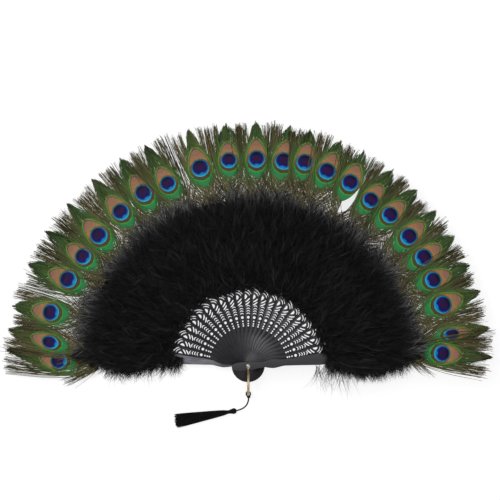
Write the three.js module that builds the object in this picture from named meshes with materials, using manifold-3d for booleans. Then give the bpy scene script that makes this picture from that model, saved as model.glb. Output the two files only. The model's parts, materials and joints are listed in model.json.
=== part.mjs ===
// Folding feather fan, lying open on its back.
// Twenty-five pierced bamboo sticks turn on one rivet. They carry a cloth leaf, rows of fluffy
// marabou down and a fringe of peacock eye feathers. A wire bail with a tassel hangs on the rivet.
// Millimetres. The origin is the middle of the rivet's rear face, +Z runs along the rivet to the
// front of the fan, and +Y is the middle of the open fan.

import * as THREE from 'three';
import { mergeVertices } from 'three/addons/utils/BufferGeometryUtils.js';
import Module from 'manifold-3d';

const wasm = await Module();
wasm.setup();

const rad = THREE.MathUtils.degToRad;

// Open fan
const STICK_COUNT = 25;
const SPREAD_ANGLE = rad(169);
const REAR_GUARD_ANGLE = rad(174.5);
const BARE_STICK_NUMBER = 9;

// Sticks
const HEAD_REACH = 17.5;
const HEAD_HALF_WIDTH = 4.5;
const BLADE_REACH = 87;
const RIB_HALF_WIDTH = 5;
const GUARD_HALF_WIDTH = 6.1;
const STICK_REACH = 185;
const RIB_STRIP_HALF_WIDTH = 2;
const GUARD_STRIP_HALF_WIDTH = 3;
const RIB_THICKNESS = 0.75;
const RIB_STRIP_THICKNESS = 0.35;
const GUARD_THICKNESS = 2.2;
const GUARD_REBATE = 0.5;
const LAYER_GAP = 0.15;
const GLUE_GAP = 0.1;

// Piercing of the ribs
const SMALL_DOT_RADIUS = 0.85;
const LARGE_DOT_RADIUS = 1.5;
const ARCH_RISE = 1.1;
const ARCH_WIDTH = 1.1;
const SLOT_BOW = 0.3;
const SLOT_WIDTH = 1.45;
const CURL_BOW = 0.9;
const CURL_WIDTH = 1;
const CUT_OVERRUN = 0.5;
const CRESCENT_END_SHARE = 0.5;

// Rivet and washers
const RIVET_RADIUS = 1;
const RIVET_HEAD_RADIUS = 1.7;
const RIVET_HEAD_THICKNESS = 0.8;
const RIVET_CLEARANCE = 0.25;
const WASHER_RADIUS = 2.3;
const WASHER_THICKNESS = 0.4;
const SEAT_GAP = 0.2;

// Bail
const BAIL_LENGTH = 29.9;
const BAIL_WIRE_RADIUS = 1.3;
const BAIL_CORNER_RADIUS = 3;
const BAIL_EYE_RADIUS = 2.1;
const BAIL_EYE_THICKNESS = 0.8;
const BAIL_TAB_LENGTH = 5.4;
const BAIL_TAB_HALF_WIDTH = 0.85;
const BAIL_LEG_START = 3.2;
const BAIL_CLEARANCE = 0.3;

// Leaf and feathers
const LEAF_BLADE_GAP = 1.5;
const LEAF_OUTER_RADIUS = 150;
const LEAF_THICKNESS = 0.25;
const FEATHER_LEAF_GAP = 2;
const FEATHER_LENGTH = 107;
const FEATHER_THICKNESS = 0.3;
const QUILL_HALF_WIDTH = 0.8;
const VANE_HALF_WIDTH = 17.5;

// Marabou rows
const FLUFF_CLEARANCE = 0.3;
const FRONT_INNER_RADIUS = 81;
const FRONT_SEAM_RADIUS = 131;
const FRONT_SEAM_GAP = 0.4;
const FRONT_OUTER_RADIUS = 181;
const FRONT_HEIGHT = 13;
const TUFT_DIP = 6;
const BACK_INNER_RADIUS = 118;
const BACK_OUTER_RADIUS = 177;
const BACK_DEPTH = 4;

// Tassel
const CORD_RADIUS = 0.7;
const KNOT_RADIUS = 1.7;
const TASSEL_LIFT = 3.15;
const TASSEL_HEAD_RADIUS = 3.1;
const TASSEL_HEAD_LENGTH = 10.5;
const TASSEL_NECK_RADIUS = 1.7;
const TASSEL_TURN = rad(189.9);
const SKIRT_GAP = 0.3;
const SKIRT_LENGTH = 54;
const SKIRT_HALF_WIDTH = 7.1;
const SKIRT_HALF_THICKNESS = 2.7;

// Facets of round shapes
const PIN_SIDES = 12;
const SMALL_DOT_SIDES = 5;
const LARGE_DOT_SIDES = 7;
const WIRE_SIDES = 8;
const HEAD_SIDES = 12;
const CORD_SIDES = 8;
const CORD_STEPS = 11;
const CORNER_STEPS = 3;
const KNOT_SEGMENTS = [8, 6];
const FLUTE_COUNT = 11;
const FLUTE_DEPTH_SHARE = 0.14;

// Half outlines of the sticks. Each row of the head is a share of its reach and of its half width.
const HEAD_OUTLINE_SHARES = [[-0.96, 0.4], [-0.84, 0.72], [-0.6, 0.95], [-0.28, 1], [0.05, 0.97]];
// Each row of a blade is a share of its reach and of its half width.
const RIB_OUTLINE_SHARES = [
  [0.126, 0.64], [0.19, 0.59], [0.24, 0.78], [0.3, 0.95], [0.36, 0.86], [0.43, 0.6],
  [0.52, 0.61], [0.63, 0.72], [0.75, 0.85], [0.86, 0.98], [0.94, 1], [0.98, 0.76],
];
const GUARD_OUTLINE_SHARES = [
  [0.126, 0.53], [0.19, 0.485], [0.24, 0.64], [0.3, 0.78], [0.36, 0.7], [0.43, 0.56],
  [0.52, 0.63], [0.63, 0.74], [0.75, 0.88], [0.86, 0.99], [0.94, 0.98], [0.98, 0.76],
];
const STRIP_START_SHARE = 0.95;
// How far a climbing sheet rises over half a strip's width, in shares of the layers' pitch
const STRIP_RISE_SHARE = 0.2;
// Where the leaf stops climbing before the front guard, in shares of the space between sticks
const LEAF_STOP_SHARE = 0.8;

// Piercing, as shares of the blade's reach and of a rib's half width
const SMALL_DOT_SHARES = [0.482, 0.507, 0.538];
const LARGE_DOT_SHARE = 0.583;
const ARCH_SHARES = [0.622, 0.652, 0.681, 0.714];
const ARCH_HALF_SPAN_SHARE = 0.38;
const SLOT_SHARES = [[[0.733, 0.58], [0.774, -0.28]], [[0.769, 0.58], [0.812, -0.28]]];
const TRIANGLE_SHARES = [[0.803, 0.72], [0.833, 0.24], [0.859, 0.66]];
const CURL_SHARES = [[[0.845, -0.28], [0.89, 0.68]], [[0.863, -0.6], [0.927, 0.74]]];

// Half outline of an eye feather's vane, from its foot to its cut tip, as shares of its length and width
const VANE_OUTLINE_SHARES = [
  [0, 0.06], [0.2, 0.45], [0.45, 0.82], [0.7, 1], [0.9, 0.96], [0.85, 0.68], [1, 0.46], [0.89, 0.22],
];
// How far each feather's eye stands off its stick, in shares of the angle between two sticks, and how
// far along the feather it is, as a share of its length. They lean as loose feathers do.
const EYE_LEAN_SHARES = [
  0.58, 0.84, 0.65, 0.16, 0.04, -0.04, -0.36, -0.55, -0.62, 0, -0.06, -0.23, -0.33,
  -0.4, -0.21, -0.13, -0.13, -0.18, -0.14, -0.27, -0.28, -0.24, -0.3, -0.53, -0.26,
];
const EYE_ALONG_SHARES = [
  0.443, 0.54, 0.588, 0.54, 0.523, 0.523, 0.538, 0.559, 0.53, 0.516, 0.572, 0.6, 0.605,
  0.613, 0.647, 0.635, 0.63, 0.596, 0.605, 0.596, 0.596, 0.572, 0.572, 0.588, 0.477,
];
// How far below its eye a vane begins, as a share of the feather's length
const VANE_FOOT_SHARE = 0.3;

// Sections of the marabou rows: shares of the row's width and of its height
const INNER_ROW_SHARES = [[0, 0.4], [0.14, 0], [1, 0], [1, 1], [0.65, 1], [0.35, 0.9], [0.1, 0.7]];
const OUTER_ROW_SHARES = [[0, 0], [0.45, 0], [1, 0.12], [0.98, 0.22], [0.8, 0.48], [0.5, 0.8], [0, 1]];
const BACK_ROW_SHARES = [
  [0, 0.3], [0.08, 0], [0.92, 0], [1, 0.3], [1, 0.8], [0.93, 1], [0.07, 1], [0, 0.8],
];
const ROW_END_SHARES = [0.45, 0.85];
const DIP_HEIGHT_SHARE = 0.82;
const ROW_OVERRUN_SHARE = 1.5;
// Where the rows step past the thicker guards, in sticks' spaces from the front and the rear guard
const FRONT_STEP_SHARES = [1.6, 0.65];
const REAR_STEP_SHARES = [0.25, 0.8];

// Tassel head: radius and length shares. Skirt: length, half width and half thickness shares.
const TASSEL_HEAD_SHARES = [
  [0, 0], [0.3, 0], [0.75, 0.08], [1, 0.24], [0.97, 0.38], [0.8, 0.54], [0.68, 0.68], [0.62, 0.82],
  [0.64, 0.96],
];
const SKIRT_SHARES = [
  [0, 0.24, 0.62], [0.08, 0.4, 0.88], [0.3, 0.55, 1], [0.6, 0.76, 1], [0.85, 0.93, 1], [1, 1, 0.94],
];

// Derived places
const lastStick = STICK_COUNT - 1;
const pitchAngle = SPREAD_ANGLE / lastStick;
const layerPitch = RIB_THICKNESS + LAYER_GAP;
const rearGuardBottom = RIVET_HEAD_THICKNESS + BAIL_EYE_THICKNESS + WASHER_THICKNESS + 3 * SEAT_GAP;
const rearGuardTop = rearGuardBottom + GUARD_THICKNESS;
const firstRibBottom = rearGuardTop + LAYER_GAP;
const frontGuardBottom = firstRibBottom + (lastStick - 1) * layerPitch;
const frontGuardTop = frontGuardBottom + GUARD_THICKNESS;
const rivetTop = frontGuardTop + rearGuardBottom;
const tableLevel = -BACK_DEPTH;
const rivetHoleRadius = RIVET_RADIUS + RIVET_CLEARANCE;
const leafInnerRadius = BLADE_REACH + LEAF_BLADE_GAP;
const featherSeatRadius = LEAF_OUTER_RADIUS + FEATHER_LEAF_GAP;

// Height of a rib's underside, carried on evenly between and beyond the ribs
const layerHeight = (stick) => firstRibBottom + (stick - 1) * layerPitch;
const stickAngle = (stick) => REAR_GUARD_ANGLE - stick * pitchAngle;
const smoothStep = THREE.MathUtils.smoothstep;

// Materials
const finish = (color, roughness, metalness) =>
  new THREE.MeshStandardMaterial({ color, roughness, metalness });
const paintedBamboo = finish('#2c2b31', 0.45, 0);
const blackDown = finish('#0b0b0c', 0.95, 0);
const darkLeaf = finish('#14141d', 0.85, 0);
const eyeGreen = finish('#3d5c2c', 0.6, 0);
const brass = finish('#b08c52', 0.35, 1);
const steel = finish('#b4b4b8', 0.3, 1);
const blackThread = finish('#0d0d0e', 0.8, 0);

// A closed mesh as a solid for joining, and back
function toSolid(geometry) {
  const bare = geometry.clone();
  bare.deleteAttribute('normal');
  bare.deleteAttribute('uv');
  const merged = mergeVertices(bare);
  return new wasm.Manifold(new wasm.Mesh({
    numProp: 3,
    vertProperties: new Float32Array(merged.attributes.position.array),
    triVerts: new Uint32Array(merged.index.array),
  }));
}

function fromSolid(solid) {
  const mesh = solid.getMesh();
  const geometry = new THREE.BufferGeometry();
  geometry.setAttribute('position', new THREE.BufferAttribute(mesh.vertProperties, 3));
  geometry.setIndex(new THREE.BufferAttribute(mesh.triVerts, 1));
  geometry.computeVertexNormals();
  return geometry;
}

const join = (...geometries) => fromSolid(geometries.map(toSolid).reduce(
  (whole, piece) => whole.add(piece)));
const cut = (geometry, tools) => fromSolid(tools.map(toSolid).reduce(
  (whole, tool) => whole.subtract(tool), toSolid(geometry)));

// A flat plate of a shape, with its underside at a height
function plate(shape, thickness, bottom = 0) {
  const geometry = new THREE.ExtrudeGeometry(shape, { depth: thickness, bevelEnabled: false });
  return geometry.translate(0, 0, bottom);
}

// A closed body through rings of points, with its two ends capped
function loft(rings) {
  const count = rings[0].length;
  const points = rings.flat();
  const triangles = [];
  for (let ring = 0; ring + 1 < rings.length; ring += 1) {
    for (let side = 0; side < count; side += 1) {
      const a = ring * count + side;
      const b = ring * count + ((side + 1) % count);
      triangles.push(a, b, b + count, a, b + count, a + count);
    }
  }
  const lastRing = (rings.length - 1) * count;
  for (const [start, flip] of [[0, true], [lastRing, false]]) {
    const centre = new THREE.Vector3();
    points.slice(start, start + count).forEach((point) => centre.addScaledVector(point, 1 / count));
    points.push(centre);
    for (let side = 0; side < count; side += 1) {
      const a = start + side;
      const b = start + ((side + 1) % count);
      triangles.push(...(flip ? [b, a] : [a, b]), points.length - 1);
    }
  }
  const geometry = new THREE.BufferGeometry().setFromPoints(points);
  geometry.setIndex(triangles);
  geometry.computeVertexNormals();
  return geometry;
}

// Points of a circle, with flats at its top and bottom where its sides are even
function circle(radius, sides, x = 0, y = 0) {
  const step = (2 * Math.PI) / sides;
  return Array.from({ length: sides }, (_, side) => {
    const turn = side * step + step / 2;
    return new THREE.Vector2(x + radius * Math.cos(turn), y + radius * Math.sin(turn));
  });
}

// A rectangle from one place to another along X, with its middle on that axis
function bar(start, end, halfWidth) {
  return new THREE.Shape([
    new THREE.Vector2(start, -halfWidth),
    new THREE.Vector2(end, -halfWidth),
    new THREE.Vector2(end, halfWidth),
    new THREE.Vector2(start, halfWidth),
  ]);
}

// Outline of a crescent slot from one point to another, bowed to its left and narrower at its ends
function crescent(start, end, bow, width) {
  const along = end.clone().sub(start);
  const left = new THREE.Vector2(-along.y, along.x).normalize();
  const middle = start.clone().add(end).divideScalar(2).addScaledVector(left, bow);
  const half = width / 2;
  const endHalf = half * CRESCENT_END_SHARE;
  return [
    start.clone().addScaledVector(left, endHalf),
    middle.clone().addScaledVector(left, half),
    end.clone().addScaledVector(left, endHalf),
    end.clone().addScaledVector(left, -endHalf),
    middle.clone().addScaledVector(left, -half),
    start.clone().addScaledVector(left, -endHalf),
  ];
}

// Sticks

function bladeShape(outlineShares, halfWidth, stripHalfWidth) {
  const half = [
    ...HEAD_OUTLINE_SHARES.map(([reach, width]) => [reach * HEAD_REACH, width * HEAD_HALF_WIDTH]),
    ...outlineShares.map(([reach, width]) => [reach * BLADE_REACH, width * halfWidth]),
    [BLADE_REACH, stripHalfWidth],
  ];
  const right = half.map(([x, y]) => new THREE.Vector2(x, -y));
  const left = half.map(([x, y]) => new THREE.Vector2(x, y)).reverse();
  const shape = new THREE.Shape([new THREE.Vector2(-HEAD_REACH, 0), ...right, ...left]);
  shape.holes.push(new THREE.Path(circle(rivetHoleRadius, PIN_SIDES)));
  return shape;
}

const stripShape = (halfWidth) => bar(STRIP_START_SHARE * BLADE_REACH, STICK_REACH, halfWidth);

function piercing() {
  const place = ([reach, side]) => new THREE.Vector2(reach * BLADE_REACH, side * RIB_HALF_WIDTH);
  const dot = (reach, radius, sides) => circle(radius, sides, reach * BLADE_REACH);
  const arch = (reach) => crescent(
    place([reach, ARCH_HALF_SPAN_SHARE]), place([reach, -ARCH_HALF_SPAN_SHARE]), ARCH_RISE, ARCH_WIDTH);
  return [
    ...SMALL_DOT_SHARES.map((reach) => dot(reach, SMALL_DOT_RADIUS, SMALL_DOT_SIDES)),
    dot(LARGE_DOT_SHARE, LARGE_DOT_RADIUS, LARGE_DOT_SIDES),
    ...ARCH_SHARES.map(arch),
    ...SLOT_SHARES.map(([start, end]) => crescent(place(start), place(end), -SLOT_BOW, SLOT_WIDTH)),
    TRIANGLE_SHARES.map(place),
    ...CURL_SHARES.map(([start, end]) => crescent(place(start), place(end), -CURL_BOW, CURL_WIDTH)),
  ];
}

function ribGeometry() {
  const shape = bladeShape(RIB_OUTLINE_SHARES, RIB_HALF_WIDTH, RIB_STRIP_HALF_WIDTH);
  const blade = plate(shape, RIB_THICKNESS);
  const punches = piercing().map((outline) =>
    plate(new THREE.Shape(outline), RIB_THICKNESS + 2 * CUT_OVERRUN, -CUT_OVERRUN));
  const strip = plate(stripShape(RIB_STRIP_HALF_WIDTH), RIB_STRIP_THICKNESS);
  return join(cut(blade, punches), strip);
}

// A guard is plain and thick, and its strip is rebated where the leaf is glued to its inner face.
function guardGeometry(rebateBelow) {
  const shape = bladeShape(GUARD_OUTLINE_SHARES, GUARD_HALF_WIDTH, GUARD_STRIP_HALF_WIDTH);
  const blade = plate(shape, GUARD_THICKNESS);
  const strip = plate(stripShape(GUARD_STRIP_HALF_WIDTH), GUARD_THICKNESS - GUARD_REBATE, rebateBelow);
  return join(blade, strip);
}

// Eye feathers

// A feather lies in its stick's own layer, so that the closed fan stacks them flat.
function featherGeometry(stick) {
  const lean = EYE_LEAN_SHARES[stick] * pitchAngle;
  const footShare = EYE_ALONG_SHARES[stick] - VANE_FOOT_SHARE;
  const footRadius = featherSeatRadius + footShare * FEATHER_LENGTH;
  const length = (1 - footShare) * FEATHER_LENGTH;
  const turned = ([along, side]) => new THREE.Vector2(
    footRadius + along * length, side * VANE_HALF_WIDTH).rotateAround(new THREE.Vector2(), lean);
  const right = VANE_OUTLINE_SHARES.map(([along, side]) => turned([along, -side]));
  const left = VANE_OUTLINE_SHARES.map(turned).reverse();
  return plate(new THREE.Shape([
    new THREE.Vector2(featherSeatRadius, QUILL_HALF_WIDTH),
    new THREE.Vector2(featherSeatRadius, -QUILL_HALF_WIDTH),
    ...right, turned([1, 0]), ...left,
  ]), FEATHER_THICKNESS);
}

// Leaf

// One sheet that climbs from stick to stick above the strips, and stops under the front guard
function leafGeometry() {
  const rings = [];
  for (let stick = 0; stick <= lastStick; stick += 1) {
    const level = Math.min(stick, lastStick - LEAF_STOP_SHARE);
    const bottom = layerHeight(level) + RIB_STRIP_THICKNESS + GLUE_GAP + layerPitch * STRIP_RISE_SHARE;
    const corners = [
      [leafInnerRadius, bottom], [LEAF_OUTER_RADIUS, bottom],
      [LEAF_OUTER_RADIUS, bottom + LEAF_THICKNESS], [leafInnerRadius, bottom + LEAF_THICKNESS],
    ];
    rings.push(corners.map(([radius, z]) => polar(radius, stickAngle(stick), z)));
  }
  return loft(rings);
}

function polar(radius, angle, z) {
  return new THREE.Vector3(radius * Math.cos(angle), radius * Math.sin(angle), z);
}

// Marabou

// Lowest height that the front rows may have over a stick, clear of blades, leaf and front guard
function frontFloor(stick) {
  const guardStep = (GUARD_THICKNESS - RIB_THICKNESS)
    * smoothStep(stick, lastStick - FRONT_STEP_SHARES[0], lastStick - FRONT_STEP_SHARES[1]);
  return layerHeight(stick) + RIB_THICKNESS + layerPitch / 2 + FLUFF_CLEARANCE + guardStep;
}

// Greatest height that the back row may have under a stick, clear of the strips and the rear guard
function backCeiling(stick) {
  const guardStep = (layerHeight(0) - rearGuardBottom) * (1 - smoothStep(stick, ...REAR_STEP_SHARES));
  return layerHeight(Math.max(stick, 0)) - layerPitch * STRIP_RISE_SHARE - FLUFF_CLEARANCE - guardStep;
}

// A front row has one swelling for each stick and a dip between two, and is lower at its ends.
function frontRowGeometry(sectionShares, innerRadius, outerRadius, dip) {
  const rings = [];
  const firstHalf = -2 * ROW_OVERRUN_SHARE;
  const lastHalf = 2 * (lastStick + ROW_OVERRUN_SHARE);
  for (let half = firstHalf; half <= lastHalf; half += 1) {
    const stick = half / 2;
    const dipped = half % 2 !== 0;
    const endShare = ROW_END_SHARES[Math.min(half - firstHalf, lastHalf - half)] ?? 1;
    const width = outerRadius - innerRadius - (dipped ? dip : 0);
    const height = FRONT_HEIGHT * endShare * (dipped ? DIP_HEIGHT_SHARE : 1);
    rings.push(sectionShares.map(([across, up]) =>
      polar(innerRadius + across * width, stickAngle(stick), frontFloor(stick) + up * height)));
  }
  return loft(rings);
}

// The back row fills the room between the sticks and the table, and the fan rests on its flat underside.
function backRowGeometry() {
  const rings = [];
  const width = BACK_OUTER_RADIUS - BACK_INNER_RADIUS;
  for (let stick = -1; stick <= lastStick + 1; stick += 1) {
    const height = backCeiling(stick) - tableLevel;
    rings.push(BACK_ROW_SHARES.map(([across, up]) =>
      polar(BACK_INNER_RADIUS + across * width, stickAngle(stick), tableLevel + up * height)));
  }
  return loft(rings);
}

// Rivet

function rivetGeometry() {
  return new THREE.LatheGeometry([
    [0, 0],
    [RIVET_HEAD_RADIUS, 0],
    [RIVET_HEAD_RADIUS, RIVET_HEAD_THICKNESS],
    [RIVET_RADIUS, RIVET_HEAD_THICKNESS],
    [RIVET_RADIUS, rivetTop - RIVET_HEAD_THICKNESS],
    [RIVET_HEAD_RADIUS, rivetTop - RIVET_HEAD_THICKNESS],
    [RIVET_HEAD_RADIUS, rivetTop],
    [0, rivetTop],
  ].map(([x, y]) => new THREE.Vector2(x, y)), PIN_SIDES).rotateX(Math.PI / 2);
}

function washerGeometry() {
  const shape = new THREE.Shape(circle(WASHER_RADIUS, PIN_SIDES));
  shape.holes.push(new THREE.Path(circle(rivetHoleRadius, PIN_SIDES)));
  return plate(shape, WASHER_THICKNESS);
}

// Bail

function tube(curve, radius, sides, steps) {
  const section = new THREE.Shape(circle(radius, sides));
  return new THREE.ExtrudeGeometry(section, { extrudePath: curve, steps });
}

// The flattened end of a leg: a disc with the rivet's hole, and a tab that runs into the wire
function bailEye(bottom) {
  const disc = plate(new THREE.Shape(circle(BAIL_EYE_RADIUS, PIN_SIDES)), BAIL_EYE_THICKNESS, bottom);
  const tab = plate(bar(0, BAIL_TAB_LENGTH, BAIL_TAB_HALF_WIDTH), BAIL_EYE_THICKNESS, bottom);
  const punch = plate(
    new THREE.Shape(circle(rivetHoleRadius, PIN_SIDES)),
    BAIL_EYE_THICKNESS + 2 * CUT_OVERRUN, bottom - CUT_OVERRUN);
  return cut(join(disc, tab.rotateZ(-Math.PI / 2)), [punch]);
}

function bailGeometry() {
  const rearLeg = rearGuardBottom - BAIL_CLEARANCE - BAIL_WIRE_RADIUS;
  const frontLeg = frontGuardTop + BAIL_CLEARANCE + BAIL_WIRE_RADIUS;
  const bend = -BAIL_LENGTH + BAIL_CORNER_RADIUS;
  const at = (y, z) => new THREE.Vector3(0, y, z);
  const corner = (z, from) => Array.from({ length: CORNER_STEPS + 1 }, (_, step) => {
    const turn = from + (step / CORNER_STEPS) * (Math.PI / 2);
    return at(bend - BAIL_CORNER_RADIUS * Math.sin(turn), z - BAIL_CORNER_RADIUS * Math.cos(turn));
  });
  const points = [
    at(-BAIL_LEG_START, rearLeg),
    ...corner(rearLeg + BAIL_CORNER_RADIUS, 0),
    ...corner(frontLeg - BAIL_CORNER_RADIUS, Math.PI / 2),
    at(-BAIL_LEG_START, frontLeg),
  ];
  const rings = points.map((point, index) => {
    const before = points[Math.max(index - 1, 0)];
    const after = points[Math.min(index + 1, points.length - 1)];
    const along = after.clone().sub(before).normalize();
    const across = new THREE.Vector3(1, 0, 0);
    const up = along.clone().cross(across);
    return circle(BAIL_WIRE_RADIUS, WIRE_SIDES).map((spot) =>
      point.clone().addScaledVector(across, spot.x).addScaledVector(up, spot.y));
  });
  const rearEye = RIVET_HEAD_THICKNESS + SEAT_GAP;
  const frontEye = rivetTop - RIVET_HEAD_THICKNESS - SEAT_GAP - BAIL_EYE_THICKNESS;
  return join(loft(rings), bailEye(rearEye), bailEye(frontEye));
}

// Tassel

// The cord lies on the table from its knot to the tassel's head. Its points are a chosen route.
const CORD_RUN = [
  [0.6, -35, -2.2], [0.15, -37.3, -3], [-0.9, -40.4, -3.3], [-3.1, -43.6, -3.3],
  [-6.2, -45.9, -2.8], [-9.3, -47.1, -1.8], [-12, -47.9, -0.9],
];
// The loop goes up from the knot, round the bail's bar and back.
const CORD_LOOP = [
  [0.8, -35, -2.2], [1.8, -33.3, 0.8], [2.4, -31.1, 3.6], [1.8, -28.6, 5.2], [0, -27.5, 5.7],
  [-1.8, -28.6, 5.2], [-2.4, -31.1, 3.6], [-1.1, -33.3, 0.8], [0.4, -35, -2.2],
];

const curveThrough = (points) =>
  new THREE.CatmullRomCurve3(points.map((point) => new THREE.Vector3(...point)));

function cordGeometry() {
  const run = tube(curveThrough(CORD_RUN), CORD_RADIUS, CORD_SIDES, CORD_STEPS);
  const loop = tube(curveThrough(CORD_LOOP), CORD_RADIUS, CORD_SIDES, CORD_STEPS);
  const knot = new THREE.SphereGeometry(KNOT_RADIUS, ...KNOT_SEGMENTS).translate(...CORD_RUN[0]);
  return join(run, loop, knot);
}

// The head and the skirt lie along one line, from the cord's end outwards.
function headGeometry() {
  const profile = TASSEL_HEAD_SHARES.map(([out, along]) =>
    new THREE.Vector2(out * TASSEL_HEAD_RADIUS, along * TASSEL_HEAD_LENGTH));
  profile.push(new THREE.Vector2(TASSEL_NECK_RADIUS, TASSEL_HEAD_LENGTH));
  profile.push(new THREE.Vector2(0, TASSEL_HEAD_LENGTH));
  return new THREE.LatheGeometry(profile, HEAD_SIDES).rotateZ(-Math.PI / 2);
}

function skirtGeometry() {
  const points = 2 * FLUTE_COUNT;
  return loft(SKIRT_SHARES.map(([along, wide, thick]) => Array.from({ length: points }, (_, side) => {
    const turn = (2 * Math.PI * side) / points;
    const flute = side % 2 === 0 ? 1 : 1 - FLUTE_DEPTH_SHARE;
    return new THREE.Vector3(
      along * SKIRT_LENGTH,
      wide * SKIRT_HALF_WIDTH * flute * Math.cos(turn),
      thick * SKIRT_HALF_THICKNESS * flute * Math.sin(turn));
  })));
}

// Assembly
const fan = new THREE.Group();

function place(name, geometry, material, z = 0, angle = 0) {
  const mesh = new THREE.Mesh(geometry, material);
  mesh.name = name;
  mesh.position.z = z;
  mesh.rotation.z = angle;
  fan.add(mesh);
  return mesh;
}

const stickNumber = (stick) => String(stick).padStart(2, '0');

place('rear_guard', guardGeometry(0), paintedBamboo, rearGuardBottom, stickAngle(0));
const rib = ribGeometry();
for (let stick = 1; stick < lastStick; stick += 1) {
  place(`rib_${stickNumber(stick)}`, rib, paintedBamboo, layerHeight(stick), stickAngle(stick));
}
place('front_guard', guardGeometry(GUARD_REBATE), paintedBamboo, frontGuardBottom, stickAngle(lastStick));

for (let stick = 0; stick <= lastStick; stick += 1) {
  if (stick !== BARE_STICK_NUMBER) {
    const seats = {
      0: rearGuardTop - GUARD_REBATE + GLUE_GAP,
      [lastStick]: frontGuardBottom + GUARD_REBATE - GLUE_GAP - FEATHER_THICKNESS,
    };
    const seat = seats[stick] ?? layerHeight(stick) + RIB_STRIP_THICKNESS + GLUE_GAP;
    place(`eye_feather_${stickNumber(stick)}`, featherGeometry(stick), eyeGreen, seat, stickAngle(stick));
  }
}

place('leaf', leafGeometry(), darkLeaf);
place('marabou_front_inner', frontRowGeometry(
  INNER_ROW_SHARES, FRONT_INNER_RADIUS, FRONT_SEAM_RADIUS - FRONT_SEAM_GAP, 0), blackDown);
place('marabou_front_outer', frontRowGeometry(
  OUTER_ROW_SHARES, FRONT_SEAM_RADIUS, FRONT_OUTER_RADIUS, TUFT_DIP), blackDown);
place('marabou_back', backRowGeometry(), blackDown);

place('rivet_pin', rivetGeometry(), steel);
place('rivet_washer_rear', washerGeometry(), steel, rearGuardBottom - SEAT_GAP - WASHER_THICKNESS);
place('rivet_washer_front', washerGeometry(), steel, frontGuardTop + SEAT_GAP);
place('bail', bailGeometry(), brass);

place('tassel_cord', cordGeometry(), blackThread);
const headStart = new THREE.Vector3(...CORD_RUN.at(-1)).setZ(tableLevel + TASSEL_LIFT);
const tasselLine = new THREE.Vector3(Math.cos(TASSEL_TURN), Math.sin(TASSEL_TURN), 0);
headStart.addScaledVector(tasselLine, SKIRT_GAP);
place('tassel_head', headGeometry(), blackThread, 0, TASSEL_TURN).position.copy(headStart);
const skirtStart = headStart.clone().addScaledVector(tasselLine, TASSEL_HEAD_LENGTH + SKIRT_GAP);
place('tassel_skirt', skirtGeometry(), blackThread, 0, TASSEL_TURN).position.copy(skirtStart);

export default fan;
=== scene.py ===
"""The looks of a folding feather fan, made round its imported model. Metres, +Z up, as in the model."""

import json
from functools import reduce
from math import atan2, cos, pi, radians, sin

import bpy
import numpy as np
from mathutils import Matrix, Vector


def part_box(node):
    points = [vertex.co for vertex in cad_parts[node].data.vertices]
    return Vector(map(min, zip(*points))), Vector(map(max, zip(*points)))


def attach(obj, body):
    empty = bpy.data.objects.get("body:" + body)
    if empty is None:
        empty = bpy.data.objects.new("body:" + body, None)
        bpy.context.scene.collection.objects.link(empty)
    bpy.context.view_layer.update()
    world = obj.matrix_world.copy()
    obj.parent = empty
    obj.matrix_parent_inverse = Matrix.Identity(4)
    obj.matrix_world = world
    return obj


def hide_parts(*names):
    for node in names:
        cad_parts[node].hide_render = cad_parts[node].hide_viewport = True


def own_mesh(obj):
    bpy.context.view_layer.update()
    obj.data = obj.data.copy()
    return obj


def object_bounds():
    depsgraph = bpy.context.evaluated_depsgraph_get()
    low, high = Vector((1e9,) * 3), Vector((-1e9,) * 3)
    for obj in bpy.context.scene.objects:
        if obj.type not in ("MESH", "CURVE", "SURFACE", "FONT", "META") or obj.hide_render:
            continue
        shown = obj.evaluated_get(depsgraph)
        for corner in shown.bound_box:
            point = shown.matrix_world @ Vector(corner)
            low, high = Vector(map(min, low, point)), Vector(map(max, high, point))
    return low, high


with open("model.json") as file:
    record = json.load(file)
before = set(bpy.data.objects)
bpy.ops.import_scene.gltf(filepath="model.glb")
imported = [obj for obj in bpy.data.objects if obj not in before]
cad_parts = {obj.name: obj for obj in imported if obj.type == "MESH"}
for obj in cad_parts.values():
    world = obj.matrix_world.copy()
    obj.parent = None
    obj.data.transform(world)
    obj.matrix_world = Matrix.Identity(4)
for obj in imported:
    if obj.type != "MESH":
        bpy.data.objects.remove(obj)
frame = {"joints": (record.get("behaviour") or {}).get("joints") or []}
cad_low, cad_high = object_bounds()

MM = 0.001

# The picture: 500 pixels square, seen from straight above
PICTURE_SIZE = 500
PIXEL = 1.05 * MM
PIVOT_PIXEL = (248.3, 365.5)
CAMERA_LENS = 250.0
SENSOR_WIDTH = 36.0
PICTURE_LEVEL = 13 * MM
TABLE = cad_low.z
TABLE_HALF_SIZE = 40.0
TABLE_GLOW, WORLD_LIGHT = 0.8, 0.36
# Lamps: place, what each points at, size in metres and power in watts
LAMPS = {
    "key": ((-0.7, 0.9, 1.6), (0, 0.1, 0), 1.2, 17),
    "fill": ((0.9, -0.8, 1.5), (0, 0.1, 0), 1.6, 9),
    "sheen": ((-0.57, 0.3, 2.2), (0, 0, 0), 0.3, 5.5),
}

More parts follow.
